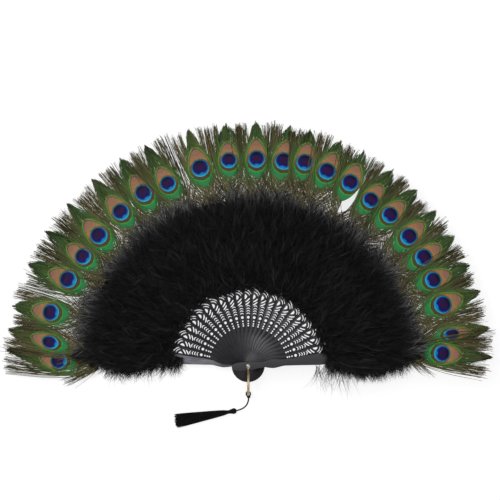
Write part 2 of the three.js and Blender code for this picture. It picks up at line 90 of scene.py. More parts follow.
# Sticks. A strip is the thin end that carries leaf and feathers: its half width, thickness and bevel
STICK_COUNT = 25
LAST = STICK_COUNT - 1
OUTER_STICKS = (0, LAST)
BARE_STICK = 9
FOLD = next(joint for joint in frame["joints"] if joint["name"] == "fan_fold")
PITCH = radians(FOLD["range_deg"][1]) / LAST
REAR_GUARD_ANGLE = radians(174.5)
FIRST_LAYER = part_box("rib_01")[0].z
LAYER_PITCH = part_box("rib_02")[0].z - FIRST_LAYER
RIB_THICKNESS = 0.75 * MM
RIB_BEVEL, GUARD_BEVEL = 0.14 * MM, 0.3 * MM
HEAD_REACH = 17.5 * MM
HEAD_HALF_WIDTH = 4.5 * MM
BLADE_REACH = 87 * MM
RIB_HALF_WIDTH = 5 * MM
GUARD_HALF_WIDTH = 6.1 * MM
STRIP_START = 0.95 * BLADE_REACH
STICK_REACH = 185 * MM
RIB_STRIP = (2 * MM, 0.35 * MM, 0.05 * MM)
GUARD_STRIP = (3 * MM, 1.7 * MM, 0.2 * MM)
RIVET_HOLE_RADIUS = 1.25 * MM

# Half outlines of the sticks, as shares of their reach and half width
HEAD_SHARES = [(-1, 0), (-0.96, 0.4), (-0.84, 0.72), (-0.6, 0.95), (-0.28, 1), (0.05, 0.97)]
RIB_SHARES = [
    (0.126, 0.64), (0.19, 0.59), (0.24, 0.78), (0.3, 0.95), (0.36, 0.86), (0.43, 0.6),
    (0.52, 0.61), (0.63, 0.72), (0.75, 0.85), (0.86, 0.98), (0.94, 1), (0.98, 0.76),
]
GUARD_SHARES = [
    (0.126, 0.53), (0.19, 0.485), (0.24, 0.64), (0.3, 0.78), (0.36, 0.7), (0.43, 0.56),
    (0.52, 0.63), (0.63, 0.74), (0.75, 0.88), (0.86, 0.99), (0.94, 0.98), (0.98, 0.76),
]

# Piercing, as shares of the blade's reach and of a rib's half width
SMALL_DOTS = [(0.482, 0.8 * MM), (0.507, 0.8 * MM), (0.538, 0.8 * MM), (0.583, 1.4 * MM)]
ARCH_SHARES = [((reach, 0.38), (reach, -0.38)) for reach in (0.622, 0.652, 0.681, 0.714)]
SLOT_SHARES = [((0.733, 0.58), (0.774, -0.28)), ((0.769, 0.58), (0.812, -0.28))]
CURL_SHARES = [((0.845, -0.28), (0.89, 0.68)), ((0.863, -0.6), (0.927, 0.74))]
TRIANGLE_SHARES = [(0.803, 0.72), (0.833, 0.24), (0.859, 0.66)]
# Rise and width of the bowed holes
ARCH_SIZE, SLOT_SIZE, CURL_SIZE = (1.1 * MM, 0.95 * MM), (-0.3 * MM, 1.25 * MM), (-0.9 * MM, 0.85 * MM)

# Leaf
LEAF_INNER, LEAF_OUTER = 88.5 * MM, 150 * MM
LEAF_LIFT, LEAF_THICKNESS = 0.63 * MM, 0.25 * MM
LAST_PANEL_DROP, LAST_PANEL_CLIMB = 0.8, 0.4
THREAD_PITCH = 0.35 * MM

# Eye feathers: how far each eye stands off its stick, in shares of the angle between two sticks, and
# how far along the feather it is, as a share of its length
FEATHER_SEAT = 152 * MM
FEATHER_LENGTH = 107 * MM
FEATHER_REACH = FEATHER_SEAT + FEATHER_LENGTH
EYE_LEAN_SHARES = [
    0.58, 0.84, 0.65, 0.16, 0.04, -0.04, -0.36, -0.55, -0.62, 0, -0.06, -0.23, -0.33,
    -0.4, -0.21, -0.13, -0.13, -0.18, -0.14, -0.27, -0.28, -0.24, -0.3, -0.53, -0.26,
]
EYE_ALONG_SHARES = [
    0.443, 0.54, 0.588, 0.54, 0.523, 0.523, 0.538, 0.559, 0.53, 0.516, 0.572, 0.6, 0.605,
    0.613, 0.647, 0.635, 0.63, 0.596, 0.605, 0.596, 0.596, 0.572, 0.572, 0.588, 0.477,
]
DISC_RADIUS = 9.4 * MM
NARROW_EYES = {1: 0.74, 23: 0.74}
WEB_LIFT = 1.3 * MM

# Barbs on each side of a quill, in millimetres and degrees. foot and tip: where they leave the quill,
# measured from the eye's middle. leave and ends: their headings off the quill, at the foot and at the tip.
BARB_FAMILIES = [
    dict(count=52, foot=-60, tip=-32, leave=(42, 54), ends=(38, 24), settle=30, unruly=6, rise=1.5,
         length=(18, 40), short=0, clump=0.2, width=0.42, chance=(0.3, 1), taper=0),
    dict(count=78, foot=-44, tip=-4, leave=(50, 44), ends=(8, -3), settle=16, unruly=4.5, rise=2.5,
         length=(90, 120), short=22, clump=0.7, width=0.54, chance=(0.25, 1), taper=0),
    dict(count=88, foot=-28, tip=31, leave=(74, 1), ends=(-31, -13), settle=23, unruly=3.2, rise=1.5,
         length=(80, 100), short=9, clump=0.5, width=0.6, chance=(0, 0.72), taper=1.2),
]

# A gap between two feathers that no barb crosses: its middle, its half width and half length, and
# the sticks whose barbs come near it
GAP_RADIUS, GAP_ANGLE = 201 * MM, radians(58.4)
GAP_WIDE, GAP_LONG = 3.5 * MM, 11 * MM
GAP_STICKS = (15, 16, 17, 18)

# Marabou: the rows' dense bodies, the share of plumes that face inwards, where the kinds of plumes are
# seated, and the rows' ragged edges. True stands for the front row and False for the back one. Numbers
# without MM are in millimetres
CORE_REACH = {True: (83.5 * MM, 174 * MM), False: (122 * MM, 172 * MM)}
CORE_HEIGHT = 5.2
CORE_LIFT = 1.2 * MM
FACING_IN = {True: 0.17, False: 0.35}
SEAT_RADII = {True: [(84, 90), (80, 98), (96, 136), (130, 168)], False: [(122, 129), (126, 168)]}
BARBS_PER_PLUME, BARBS_PER_LOCK = 42, 6
DOWN_FROM, DOWN_TO = 76, 183
DOWN_HEIGHT = 14.5 * MM
BARB_WIDTH, LOOSE_WIDTH = 0.4 * MM, 0.26 * MM
# Loose down below the two outer sticks, in millimetres and degrees: tufts from a nearest radius on, with
# their headings at both ends, and single wisps with the radii where they start
LOOSE_DOWN = {
    0: dict(side=-1, tufts=520, nearest=69, headings=(266, 202), wisps=40, wisp_heading=-98,
            wisp_from=74, wisp_room=76, crowding=1, longest=22),
    LAST: dict(side=1, tufts=760, nearest=83, headings=(-97, -26), wisps=130, wisp_heading=-88,
               wisp_from=70, wisp_room=38, crowding=1.1, longest=34),
}
TUFT_SIZE, TUFT_REACH = 9, 179
STRAND_STEPS = 7

# Tassel: the cord's route in millimetres, its twist in turns to a metre, and the strand
# that closes its loop round the bail
CORD_RADIUS = 0.75 * MM
CORD_TWIST, KNOT_TWIST = 260, 220
CORD_ROUTE = [
    (-2.2, -30.9, 3.4), (-1.8, -28.6, 5.2), (0, -27.6, 5.6), (1.8, -28.6, 5.2), (2.2, -30.9, 3.4),
    (1, -32.5, 2.4), (0.4, -33.4, -0.3), (0.15, -36.6, -2.8), (-0.9, -40.4, -3.3), (-3.1, -43.6, -3.3),
    (-6.2, -45.9, -2.8), (-9.3, -47.1, -1.8), (-12, -47.9, -0.9), (-16.9, -48.76, -0.85),
    (-21.8, -49.61, -0.85),
]
KNOT, HEAD_START = 6, 12
LOOP_STRAND = [(-2.2, -30.9, 3.4), (-1, -32.5, 2.4), (0.4, -33.4, -0.3)]
HEAD_LENGTH, HEAD_RADIUS, HEAD_WINDING = 10.5 * MM, 3.0 * MM, 0.42 * MM
SKIRT_START, SKIRT_LENGTH = 10 * MM, 56.8
SKIRT_HALF_WIDTH, SKIRT_HALF_DEPTH, THREAD_RADIUS = 8.8 * MM, 2.4 * MM, 0.2 * MM
TASSEL_TURN = radians(189.9)
TASSEL_ALONG = np.array([cos(TASSEL_TURN), sin(TASSEL_TURN), 0])
TASSEL_ACROSS = np.array([-sin(TASSEL_TURN), cos(TASSEL_TURN), 0])
UP = np.array([0, 0, 1])


def stick_angle(stick):
    return REAR_GUARD_ANGLE - stick * PITCH


def layer(stick):
    """Height of a rib's underside, carried on evenly beyond the ribs."""
    return FIRST_LAYER + (stick - 1) * LAYER_PITCH


def body_of_stick(stick):
    return {0: "fan_back", LAST: "front_stick"}.get(stick, f"stick_{stick:02d}")


def node_of_stick(stick):
    return {0: "rear_guard", LAST: "front_guard"}.get(stick, f"rib_{stick:02d}")


def heights(node):
    """Lowest and highest Z of a piece of the model."""
    low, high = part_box(node)
    return low.z, high.z


def rng(*key):
    return np.random.default_rng([7, *key])


def smooth(low, high, value):
    share = np.clip((np.asarray(value, float) - low) / (high - low), 0, 1)
    return share * share * (3 - 2 * share)


def polar(radius, angle):
    return np.stack([radius * np.cos(angle), radius * np.sin(angle)], axis=-1)


def around(sides):
    """The angles of points spread evenly round a circle."""
    return np.arange(sides) * 2 * pi / sides


def shares(count):
    """Even steps from 0 to 1, as a row."""
    return np.linspace(0, 1, count)[None, :]


def linked(name, data):
    """A new object in the scene."""
    made = bpy.data.objects.new(name, data)
    bpy.context.scene.collection.objects.link(made)
    return made


# Camera and light

def make_camera():
    camera = bpy.data.cameras.new("camera")
    camera.lens = CAMERA_LENS
    camera.sensor_width = SENSOR_WIDTH
    camera.clip_end = 100
    distance = PICTURE_SIZE * PIXEL * CAMERA_LENS / SENSOR_WIDTH
    middle = PICTURE_SIZE / 2
    seat = linked("camera", camera)
    seat.location = (
        (middle - PIVOT_PIXEL[0]) * PIXEL, (PIVOT_PIXEL[1] - middle) * PIXEL, PICTURE_LEVEL + distance)
    bpy.context.scene.camera = seat


def make_area_light(name, place, target, size, power):
    light = bpy.data.lights.new(name, "AREA")
    light.shape = "SQUARE"
    light.size = size
    light.energy = power
    seat = linked(name, light)
    seat.location = place
    seat.rotation_euler = (Vector(target) - Vector(place)).to_track_quat("-Z", "Y").to_euler()


# Materials

def srgb(text):
    """A colour written as in a picture, as Blender's linear numbers."""
    parts = [int(text[i:i + 2], 16) / 255 for i in (0, 2, 4)]
    return (*[c / 12.92 if c <= 0.04045 else ((c + 0.055) / 1.055) ** 2.4 for c in parts], 1)


def operator(operation):
    """A method that joins two values by a Math node."""
    return lambda first, second: first.nodes.math(operation, first, second)


class Value:
    """A value in a node tree. With +, -, * and / it makes Math nodes."""

    __add__, __sub__, __mul__, __truediv__ = map(operator, ("ADD", "SUBTRACT", "MULTIPLY", "DIVIDE"))

    def __init__(self, nodes, socket):
        self.nodes, self.socket = nodes, socket


class Nodes:
    """The node tree of a material or world, with short calls. A text such as "8c8c8c" is a colour."""

    def __init__(self, owner):
        owner.use_nodes = True
        self.tree = owner.node_tree

    def put(self, socket, value):
        if isinstance(value, Value):
            self.tree.links.new(value.socket, socket)
        else:
            socket.default_value = srgb(value) if isinstance(value, str) else value

    def make(self, kind, inputs=(), **settings):
        made = self.tree.nodes.new("ShaderNode" + kind)
        for key, value in settings.items():
            setattr(made, key, value)
        for key, value in dict(inputs).items():
            self.put(made.inputs[key], value)
        return made

    def node(self, kind, inputs=(), output=0, **settings):
        return Value(self, self.make(kind, inputs, **settings).outputs[output])

    def math(self, operation, *values):
        return self.node("Math", enumerate(values), operation=operation)

    def mix(self, factor, low, high):
        return self.node("Mix", {0: factor, 6: low, 7: high}, output=2, data_type="RGBA")

    def split(self, vector):
        return [Value(self, socket) for socket in self.make("SeparateXYZ", {0: vector}).outputs[:3]]

    def field(self, name):
        """The three numbers that each point of a mesh carries under a name."""
        return self.split(self.node("Attribute", output=1, attribute_name=name))

    def join(self, x, y, z):
        return self.node("CombineXYZ", {0: x, 1: y, 2: z})

    def dimmed(self, colour, shade):
        inputs = {0: colour, 1: self.join(shade, shade, shade)}
        return self.node("VectorMath", inputs, operation="MULTIPLY")

    def noise(self, vector, scale, detail=2.0):
        return self.node("TexNoise", {"Vector": vector, "Scale": scale, "Detail": detail})

    def range(self, value, low, high, start=0.0, end=1.0):
        inputs = {0: value, 1: low, 2: high, 3: start, 4: end}
        return self.node("MapRange", inputs, interpolation_type="SMOOTHSTEP")

    def seen_by(self, *rays):
        """1 for rays of the named kinds."""
        kinds = [self.node("LightPath", output=f"Is {ray} Ray") for ray in rays]
        return reduce(lambda first, second: self.math("MAXIMUM", first, second), kinds)


class Finish(Nodes):
    """One material. The numbers go to the shader's sockets of the same names."""

    def __init__(self, name, Roughness=0.6, **numbers):
        self.material = bpy.data.materials.new(name)
        super().__init__(self.material)
        for socket, value in {"Roughness": Roughness, **numbers}.items():
            self.set(socket.replace("_", " "), value)

    def set(self, socket, value):
        self.put(self.tree.nodes["Principled BSDF"].inputs[socket], value)

    def bump(self, height, distance, strength=1.0):
        self.set("Normal", self.node("Bump", {"Height": height, "Distance": distance, "Strength": strength}))


def painted_bamboo(name, dark, light, roughness, crown_height=0.25, shine=0.5, stick_painted_shade=0.0, head_shade=0.0):
    """Satin paint over bamboo: fine fibres run along the stick and the paint is worn thin in places. The last
    two numbers paint shade: the first on the higher sticks, in tone and colour, and the second on the end
    near the rivet."""
    f = Finish(name, Specular_IOR_Level=shine, Coat_Weight=0.24 * shine, Coat_Roughness=0.3)
    along, across, number = f.field("grain")
    fibre = f.noise(f.join(along * 0.035, across, number), 2600.0, 4.0)
    cloud = f.noise(f.join(along, across, number), 90.0)
    # Painted shade: the tone drops on the higher sticks and near the rivet, and the colour is dimmed on the
    # higher sticks.
    tone = fibre * 0.65 + cloud * 0.5 - number * stick_painted_shade - f.range(along, 12 * MM, 40 * MM, head_shade, 0.0)
    shade = f.math("SUBTRACT", 1.0, number * (2.4 * stick_painted_shade))
    f.set("Base Color", f.dimmed(f.mix(f.range(tone, 0.35, 0.85), dark, light), shade))
    f.set("Roughness", f.range(fibre, 0.2, 0.8, roughness - 0.08, roughness + 0.1))
    side = across / RIB_HALF_WIDTH
    f.bump(side * side * -crown_height + fibre * 0.03, MM)
    return f.material


def metal(name, tint, dull, roughness, scale):
    f = Finish(name, Metallic=1.0)
    x, y, z = f.split(f.node("TexCoord", output=3))
    brushed = f.noise(f.join(x, y * 0.2, z), scale, 3.0)
    f.set("Base Color", f.mix(f.range(brushed, 0.3, 0.75), tint, dull))
    f.set("Roughness", f.range(brushed, 0.2, 0.8, roughness - 0.06, roughness + 0.12))
    f.bump(brushed, 0.02 * MM, 0.4)
    return f.material


def down_finish():
    """Soft matt black down. Each barb is a little lighter or darker than the next, and those with a tone
    above 1 are painted pale towards their tips: painted light, as if seen through the thin fringe."""
    f = Finish("marabou_down", Specular_IOR_Level=0.14, Sheen_Weight=0.03, Sheen_Roughness=0.4)
    along, _, tone = f.field("strand")
    light = f.math("POWER", f.math("MINIMUM", tone, 1.0), 1.6)
    black = f.mix(light * f.range(along, 0.0, 0.7, 0.5, 1.0), "020202", "323235")
    # Painted light: the tips of barbs with a tone above 1 are painted pale.
    pale = f.range(tone, 1.0, 2.0) * f.range(along, 0.2, 1.0)
    f.set("Base Color", f.mix(pale, black, "8c8c88"))
    return f.material


def thread_finish(name, dark, light, roughness, twist):
    f = Finish(name, Sheen_Weight=0.02, Sheen_Roughness=0.4, Specular_IOR_Level=0.1)
    along, across, chance = f.field("strand")
    fibre = f.noise(f.join(along * 4.0, across * twist, chance), 9.0, 3.0)
    f.set("Base Color", f.mix(f.range(fibre, 0.3, 0.75), dark, light))
    f.set("Roughness", f.range(fibre, 0.2, 0.8, roughness, roughness + 0.2))
    f.bump(fibre, 0.06 * MM, 0.6)
    return f.material


def leaf_finish():
    """Dark cloth, woven of threads that show in the light."""
    f = Finish("leaf_cloth", Roughness=0.8, Sheen_Weight=0.15, Sheen_Roughness=0.5)
    along, across, number = f.field("grain")
    weave = f.math("SINE", along * (2 * pi / THREAD_PITCH)) * f.math("SINE", across * (2 * pi / THREAD_PITCH))
    cloud = f.noise(f.join(along, across, number), 120.0)
    f.set("Base Color", f.mix(f.range(weave * 0.2 + cloud, 0.2, 0.9), "0d0d18", "1d1c2c"))
    f.bump(weave, 0.05 * MM, 0.6)
    return f.material


def eye_finish():
    """The eye of a peacock feather, drawn round the middle of its blue disc in shares of the disc's radius.
    The barbs' own lengthwise streaks come from each barb's chance number."""
    f = Finish("peacock_barbs", Roughness=0.45, Specular_IOR_Level=0.1)
    x, y, chance = f.field("eye")
    wobble = (f.noise(f.join(x, y, chance), 3.0, 3.0) - 0.5) * 0.16
    upper = f.math("MINIMUM", f.math("MAXIMUM", y, 0.0), 2.6)
    slimmed = x * (upper * 0.12 + 1.0)

    def oval(half_x, above, below, lift=0.0, across=x):
        """1 on an oval's edge, less inside it."""
        wide, up = across / half_x, y - lift
        high, low = f.math("MAXIMUM", up, 0.0) / above, f.math("MINIMUM", up, 0.0) / below
        return f.math("SQRT", wide * wide + high * high + low * low) + wobble

    def egg(half_x, above, below):
        """The same, for an egg that narrows outwards."""
        return oval(half_x, above, below, across=slimmed)

    def inside(distance, soft):
        return f.range(distance, 1 - soft, 1 + soft, 1.0, 0.0)

    # Loose barbs round the eye: dark green close by, olive and brown further out
    streak = f.noise(f.join(x * 0.5, y * 0.25, chance * 40.0), 2.5, 3.0)
    brown = f.mix(f.range(chance, 0.3, 1.0), "17150d", "5c5436")
    green = f.mix(f.range(chance, 0.0, 0.6), "1f4526", "4e6c38")
    far = egg(2.4, 4.6, 3.0) + (streak - 0.5) * 1.8 + f.range(chance, 0.3, 0.8, -0.15, 0.5)
    colour = f.mix(f.range(far, 0.8, 1.25), green, brown)
    # The bright green that frames the eye, strongest on the side of the quill, with an olive tip
    frame_green = f.mix(f.range(y, -1.6, -0.3), "298a4e", "45702a")
    frame_green = f.mix(f.range(chance, 0.2, 1.0, 0.0, 0.45), frame_green, "1f4a22")
    tip = f.range(y, 1.2, 2.6) * f.range(streak, 0.35, 0.6)
    frame_green = f.mix(tip, frame_green, "4a4626")
    rim = f.mix(f.range(y, -0.8, 1.2), "4f9a42", "768f48")
    # Bronze below, tan and copper pink above
    bronze = f.mix(f.range(y, -1.0, 0.3), "5a4022", "7a5a2e")
    above = y + (streak - 0.5) * 1.2
    tan = f.mix(f.range(above, 1.0, 1.9), "9c7448", "8c6656")
    copper = f.mix(f.range(y, 0.2, 1.0), bronze, tan)
    # The disc: a dark line, teal, azure, and the violet heart with its notch towards the quill
    teal = f.mix(f.range(y, -0.9, 0.5), "2fa9bc", "1f8496")
    azure = f.mix(f.range(y, -0.95, 0.3), "1080c8", "0a4c94")
    notch = f.range(f.math("ABSOLUTE", x), 0.0, 0.5, 1.0, 0.0) * f.range(y, 0.1, -0.8, 0.0, 0.3)
    violet = f.mix(inside(oval(0.5, 0.4, 0.4, 0.15), 0.9), "0b0a5e", "2c0c34")
    violet = f.mix(f.range(y, 0.25, 0.8), violet, "04041a")
    for edge, soft, paint in (
            (egg(1.5, 2.9, 2.1), 0.14, frame_green), (egg(1.36, 2.5, 1.51), 0.05, rim),
            (egg(1.27, 2.35, 1.4), 0.04, "3c4620"), (egg(1.2, 2.2, 1.25), 0.05, copper),
            (oval(1.05, 1.05, 1.07), 0.035, "14303a"), (oval(0.99, 0.99, 1.0), 0.045, teal),
            (oval(0.88, 0.9, 0.87), 0.08, azure), (oval(0.84, 0.8, 0.86, 0.1) + notch, 0.17, violet)):
        colour = f.mix(inside(edge, soft), colour, paint)
    f.set("Base Color", f.dimmed(colour, f.range(chance, 0.0, 1.0, 0.6, 1.2)))
    return f.material


# Meshes


def make_piece(name, points, faces, material, body, nodes=(), attributes=(), shade_smooth=True):
    """A mesh piece that rides on a body and replaces nodes of the model. faces is an array of quads, or a
    list of polygons."""
    mesh = bpy.data.meshes.new(name)
    points = np.asarray(points, np.float32).reshape(-1, 3)
    if isinstance(faces, np.ndarray):
        mesh.vertices.add(len(points))
        mesh.vertices.foreach_set("co", points.ravel())
        mesh.loops.add(faces.size)
        mesh.loops.foreach_set("vertex_index", faces.astype(np.int32).ravel())
        mesh.polygons.add(len(faces))
        mesh.polygons.foreach_set("loop_start", np.arange(0, faces.size, faces.shape[1], dtype=np.int32))
        mesh.update(calc_edges=True)
    else:
        mesh.from_pydata(points.tolist(), [], faces)
    mesh.polygons.foreach_set("use_smooth", np.full(len(mesh.polygons), shade_smooth))
    for key, values in dict(attributes).items():
        made = mesh.attributes.new(key, "FLOAT_VECTOR", "POINT")
        made.data.foreach_set("vector", np.asarray(values, np.float32).ravel())
    mesh.materials.append(material)
    piece = linked(name, mesh)
    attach(piece, body)
    if nodes:
        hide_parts(*nodes)
    finish = material.name.split(".")[0]
    return piece


def flatten(piece):
    """Gives a piece a mesh of its own."""
    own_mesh(piece)


def per_point(shape, *values, ends=0):
    """Three numbers for each point of a mesh, from values that fit the shape of its points, and zeros for
    the points at its ends."""
    numbers = np.stack([np.broadcast_to(value, shape) for value in values], axis=-1)
    return np.concatenate([numbers.reshape(-1, 3), np.zeros((ends, 3))])


def quads_of(corners):
    """Quads of a grid of point numbers, whose last two axes are its rows and columns."""
    parts = corners[..., :-1, :-1], corners[..., 1:, :-1], corners[..., 1:, 1:], corners[..., :-1, 1:]
    return np.stack(parts, axis=-1)


def strips(paths, half_widths, sides):
    """Flat strips along paths. paths and sides are (strips, points, 3), half widths (strips, points)."""
    offset = sides * half_widths[..., None]
    points = np.stack([paths - offset, paths + offset], axis=2).reshape(-1, 3)
    return points, quads_of(np.arange(len(points)).reshape(*half_widths.shape, 2)).reshape(-1, 4)


def grown(start, heading, heading_end, settle, elevation, droop, curl, length, steps):
    """Paths of strands that leave start at a heading, settle towards another one, droop and curl."""
    run = shares(steps + 1) * length[:, None]
    turn = heading_end[:, None] + (heading - heading_end)[:, None] * np.exp(-run / settle[:, None])
    turn = turn + curl[:, None] * run
    rise = elevation[:, None] + droop[:, None] * run
    step = length[:, None] / steps
    flat = np.cos(rise) * step
    moves = np.stack([np.cos(turn) * flat, np.sin(turn) * flat, np.sin(rise) * step], axis=-1)
    moves = (moves[:, 1:] + moves[:, :-1]) / 2
    return np.concatenate([start[:, None], start[:, None] + np.cumsum(moves, axis=1)], axis=1)


def sideways(paths, roll):
    """For each point of a path, the direction across it, turned by roll from level."""
    along = np.gradient(paths, axis=1)
    along /= np.maximum(np.linalg.norm(along, axis=-1, keepdims=True), 1e-12)
    level = np.stack([-along[..., 1], along[..., 0], np.zeros(along.shape[:2])], axis=-1)
    level /= np.maximum(np.linalg.norm(level, axis=-1, keepdims=True), 1e-12)
    return level * np.cos(roll)[:, None, None] + np.cross(along, level) * np.sin(roll)[:, None, None]


def shell(grid):
    """A closed thin sheet from its two sides, each a grid of points."""
    _, rows, columns, _ = grid.shape
    index = np.arange(2 * rows * columns).reshape(2, rows, columns)
    under, over = quads_of(index)
    rim = np.concatenate([index[0, :, 0], index[0, -1, 1:], index[0, -2::-1, -1], index[0, 0, -2:0:-1]])
    after, room = np.roll(rim, -1), rows * columns
    return grid.reshape(-1, 3), np.concatenate([
        np.stack([under, over[..., ::-1]], axis=2).reshape(-1, 4),
        np.column_stack([after, rim, rim + room, after + room])])


def ring_faces(rings, sides):
    """Faces between rings of points, with a fan of faces at each end to one last point each."""
    pairs = [(side, (side + 1) % sides) for side in range(sides)]
    faces = [[row + a, row + b, row + b + sides, row + a + sides]
             for row in range(0, (rings - 1) * sides, sides) for a, b in pairs]
    top, first = (rings - 1) * sides, rings * sides
    for a, b in pairs:
        faces += [[b, a, first], [top + a, top + b, first + 1]]
    return faces


def tube(middle, radius, sides):
    """Points and faces of a closed tube along a line, with one radius at each point."""
    middle = np.asarray(middle, float)
    along = np.gradient(middle, axis=0)
    along /= np.linalg.norm(along, axis=1, keepdims=True)
    across = np.cross(along[0], [0.3, 0.2, 1])
    turn = around(sides)[:, None]
    rings = []
    for place, way, size in zip(middle, along, np.broadcast_to(radius, len(middle))):
        across = across - way * (across @ way)
        across /= np.linalg.norm(across)
        rings.append(place + size * (np.cos(turn) * across + np.sin(turn) * np.cross(way, across)))
    return np.concatenate([*rings, middle[:1], middle[-1:]]), ring_faces(len(middle), sides)


def joined(*parts):
    """Points and faces of several parts as one."""
    points, faces, start = [], [], 0
    for part_points, part_faces in parts:
        points.append(np.asarray(part_points))
        faces += [[corner + start for corner in face] for face in part_faces]
        start += len(part_points)
    return np.concatenate(points), faces


# Outlines and plates

def smooth_line(points, steps, closed=False):
    """A round curve through points, by Catmull and Rom's rule."""
    points = np.asarray(points, float)
    if closed:
        padded = np.concatenate([points[-1:], points, points[:2]])
    else:
        padded = np.concatenate([2 * points[:1] - points[1:2], points, 2 * points[-1:] - points[-2:-1]])
    line = []
    for a, b, c, d in zip(padded, padded[1:], padded[2:], padded[3:]):
        for t in np.arange(steps) / steps:
            line.append(0.5 * (2 * b + (c - a) * t + (2 * a - 5 * b + 4 * c - d) * t**2
                               + (3 * b - a - 3 * c + d) * t**3))
    return np.array(line if closed else [*line, points[-1]])


def circle(radius, sides=24, middle=(0, 0)):
    return polar(np.full(sides, radius), around(sides)) + np.asarray(middle)


def crescent(start, end, bow, width):
    """Outline of a bowed slot with rounded ends."""
    start, end = np.asarray(start), np.asarray(end)
    along = (end - start) / np.linalg.norm(end - start)
    left = np.array([-along[1], along[0]])
    share = np.linspace(-1, 1, 7)
    middle = (start + end) / 2 + share[:, None] * (end - start) / 2 + (1 - share**2)[:, None] * left * bow
    half = (width / 2 * (0.35 + 0.65 * np.sqrt(1 - 0.9 * share**2)))[:, None] * left
    return np.concatenate([middle + half, (middle - half)[::-1]])


def plate(outlines, thickness, bevel, bottom=0.0):
    """Points and faces of a flat plate with holes and small bevels, from closed outlines."""
    curve = bpy.data.curves.new("plate", "CURVE")
    curve.dimensions = "2D"
    curve.fill_mode = "BOTH"
    curve.extrude = thickness / 2 - bevel
    curve.bevel_depth = bevel
    curve.bevel_resolution = 1
    curve.offset = -bevel
    for outline in outlines:
        spline = curve.splines.new("POLY")
        spline.points.add(len(outline) - 1)
        ends = np.zeros(len(outline)), np.ones(len(outline))
        spline.points.foreach_set("co", np.column_stack([outline, *ends]).ravel())
        spline.use_cyclic_u = True
    holder = bpy.data.objects.new("plate", curve)
    mesh = bpy.data.meshes.new_from_object(holder)
    points = np.zeros(len(mesh.vertices) * 3)
    mesh.vertices.foreach_get("co", points)
    faces = [list(polygon.vertices) for polygon in mesh.polygons]
    bpy.data.objects.remove(holder)
    bpy.data.curves.remove(curve)
    bpy.data.meshes.remove(mesh)
    return points.reshape(-1, 3) + [0, 0, bottom + thickness / 2], faces


# Sticks

def blade_outline(body_shares, half_width, strip_half_width):
    head = [(reach * HEAD_REACH, width * HEAD_HALF_WIDTH) for reach, width in HEAD_SHARES]
    blade = [(reach * BLADE_REACH, width * half_width) for reach, width in body_shares]
    half = smooth_line([*head, *blade, (BLADE_REACH, strip_half_width)], 4)
    return np.concatenate([half * [1, -1], half[1:][::-1]])


def strip(half_width, thickness, bevel, bottom=0.0):
    outline = np.array([(STRIP_START, -half_width), (STICK_REACH, -half_width),
                        (STICK_REACH, half_width), (STRIP_START, half_width)])
    return plate([outline], thickness, bevel, bottom)


def piercing():
    def place(share):
        return share[0] * BLADE_REACH, share[1] * RIB_HALF_WIDTH

    def bowed(pairs, size):
        return [crescent(*map(place, ends), *size) for ends in pairs]

    dots = [circle(radius, 16, (reach * BLADE_REACH, 0)) for reach, radius in SMALL_DOTS]
    triangle = smooth_line([place(share) for share in TRIANGLE_SHARES], 4, closed=True)
    return [*dots, *bowed(ARCH_SHARES, ARCH_SIZE), *bowed(SLOT_SHARES, SLOT_SIZE), triangle,
            *bowed(CURL_SHARES, CURL_SIZE)]


def make_sticks():
    paint = painted_bamboo("painted_bamboo", "0e0d13", "201f27", 0.3, 0.6, 0.3)
    # The guards carry painted shade: the front guard is painted darker than the rear one, and both are darker
    # near the rivet.
    guard_paint = painted_bamboo("guard_bamboo", "403e46", "84818c", 0.38, stick_painted_shade=0.0135, head_shade=0.25)
    hole = circle(RIVET_HOLE_RADIUS)
    rib = joined(
        plate([blade_outline(RIB_SHARES, RIB_HALF_WIDTH, RIB_STRIP[0]), hole, *piercing()],
              RIB_THICKNESS, RIB_BEVEL),
        strip(*RIB_STRIP))
    for stick in range(STICK_COUNT):
        node = node_of_stick(stick)
        (points, faces), finish, bottom = rib, paint, layer(stick)
        if stick in OUTER_STICKS:
            bottom, top = heights(node)
            strip_bottom = 0 if stick == 0 else top - bottom - GUARD_STRIP[1]
            points, faces = joined(
                plate([blade_outline(GUARD_SHARES, GUARD_HALF_WIDTH, GUARD_STRIP[0]), hole],
                      top - bottom, GUARD_BEVEL),
                strip(*GUARD_STRIP, strip_bottom))
            finish = guard_paint
        piece = make_piece(f"fine_{node}", points, faces, finish, body_of_stick(stick), [node],
                           {"grain": points + [0, 0, stick]}, shade_smooth=False)
        piece.matrix_world = Matrix.Translation((0, 0, bottom)) @ Matrix.Rotation(stick_angle(stick), 4, "Z")


# Leaf

def make_leaf():
    """One panel of cloth on each stick. The panels meet halfway between the sticks and climb from layer to
    layer. The last one lies lower and flatter, to stay under the front guard."""
    cloth = leaf_finish()
    radii = np.linspace(LEAF_INNER, LEAF_OUTER, 7)
    for stick in range(STICK_COUNT):
        across = np.linspace(0 if stick == 0 else -0.5, 0 if stick == LAST else 0.5,
                             6 if stick in OUTER_STICKS else 9)
        angle = stick_angle(stick) - across * PITCH
        level = layer(min(stick, LAST - LAST_PANEL_DROP)) + LEAF_LIFT
        climb = LAST_PANEL_CLIMB if stick == LAST else 1
        grid = np.zeros((2, len(radii), len(across), 3))
        grid[..., :2] = polar(radii[:, None], angle[None, :])
        for side, thick in enumerate((0, LEAF_THICKNESS)):
            grid[side, ..., 2] = level + across * LAYER_PITCH * climb + thick
        points, faces = shell(grid)
        out = polar(1, stick_angle(stick))
        aside = points[:, 1] * out[0] - points[:, 0] * out[1]
        grain = np.column_stack([points[:, :2] @ out, aside, np.full(len(points), stick)])
        piece = make_piece(f"leaf_panel_{stick:02d}", points, faces, cloth, body_of_stick(stick), ["leaf"],
                           {"grain": grain}, shade_smooth=False)
        flatten(piece)


# Peacock feathers

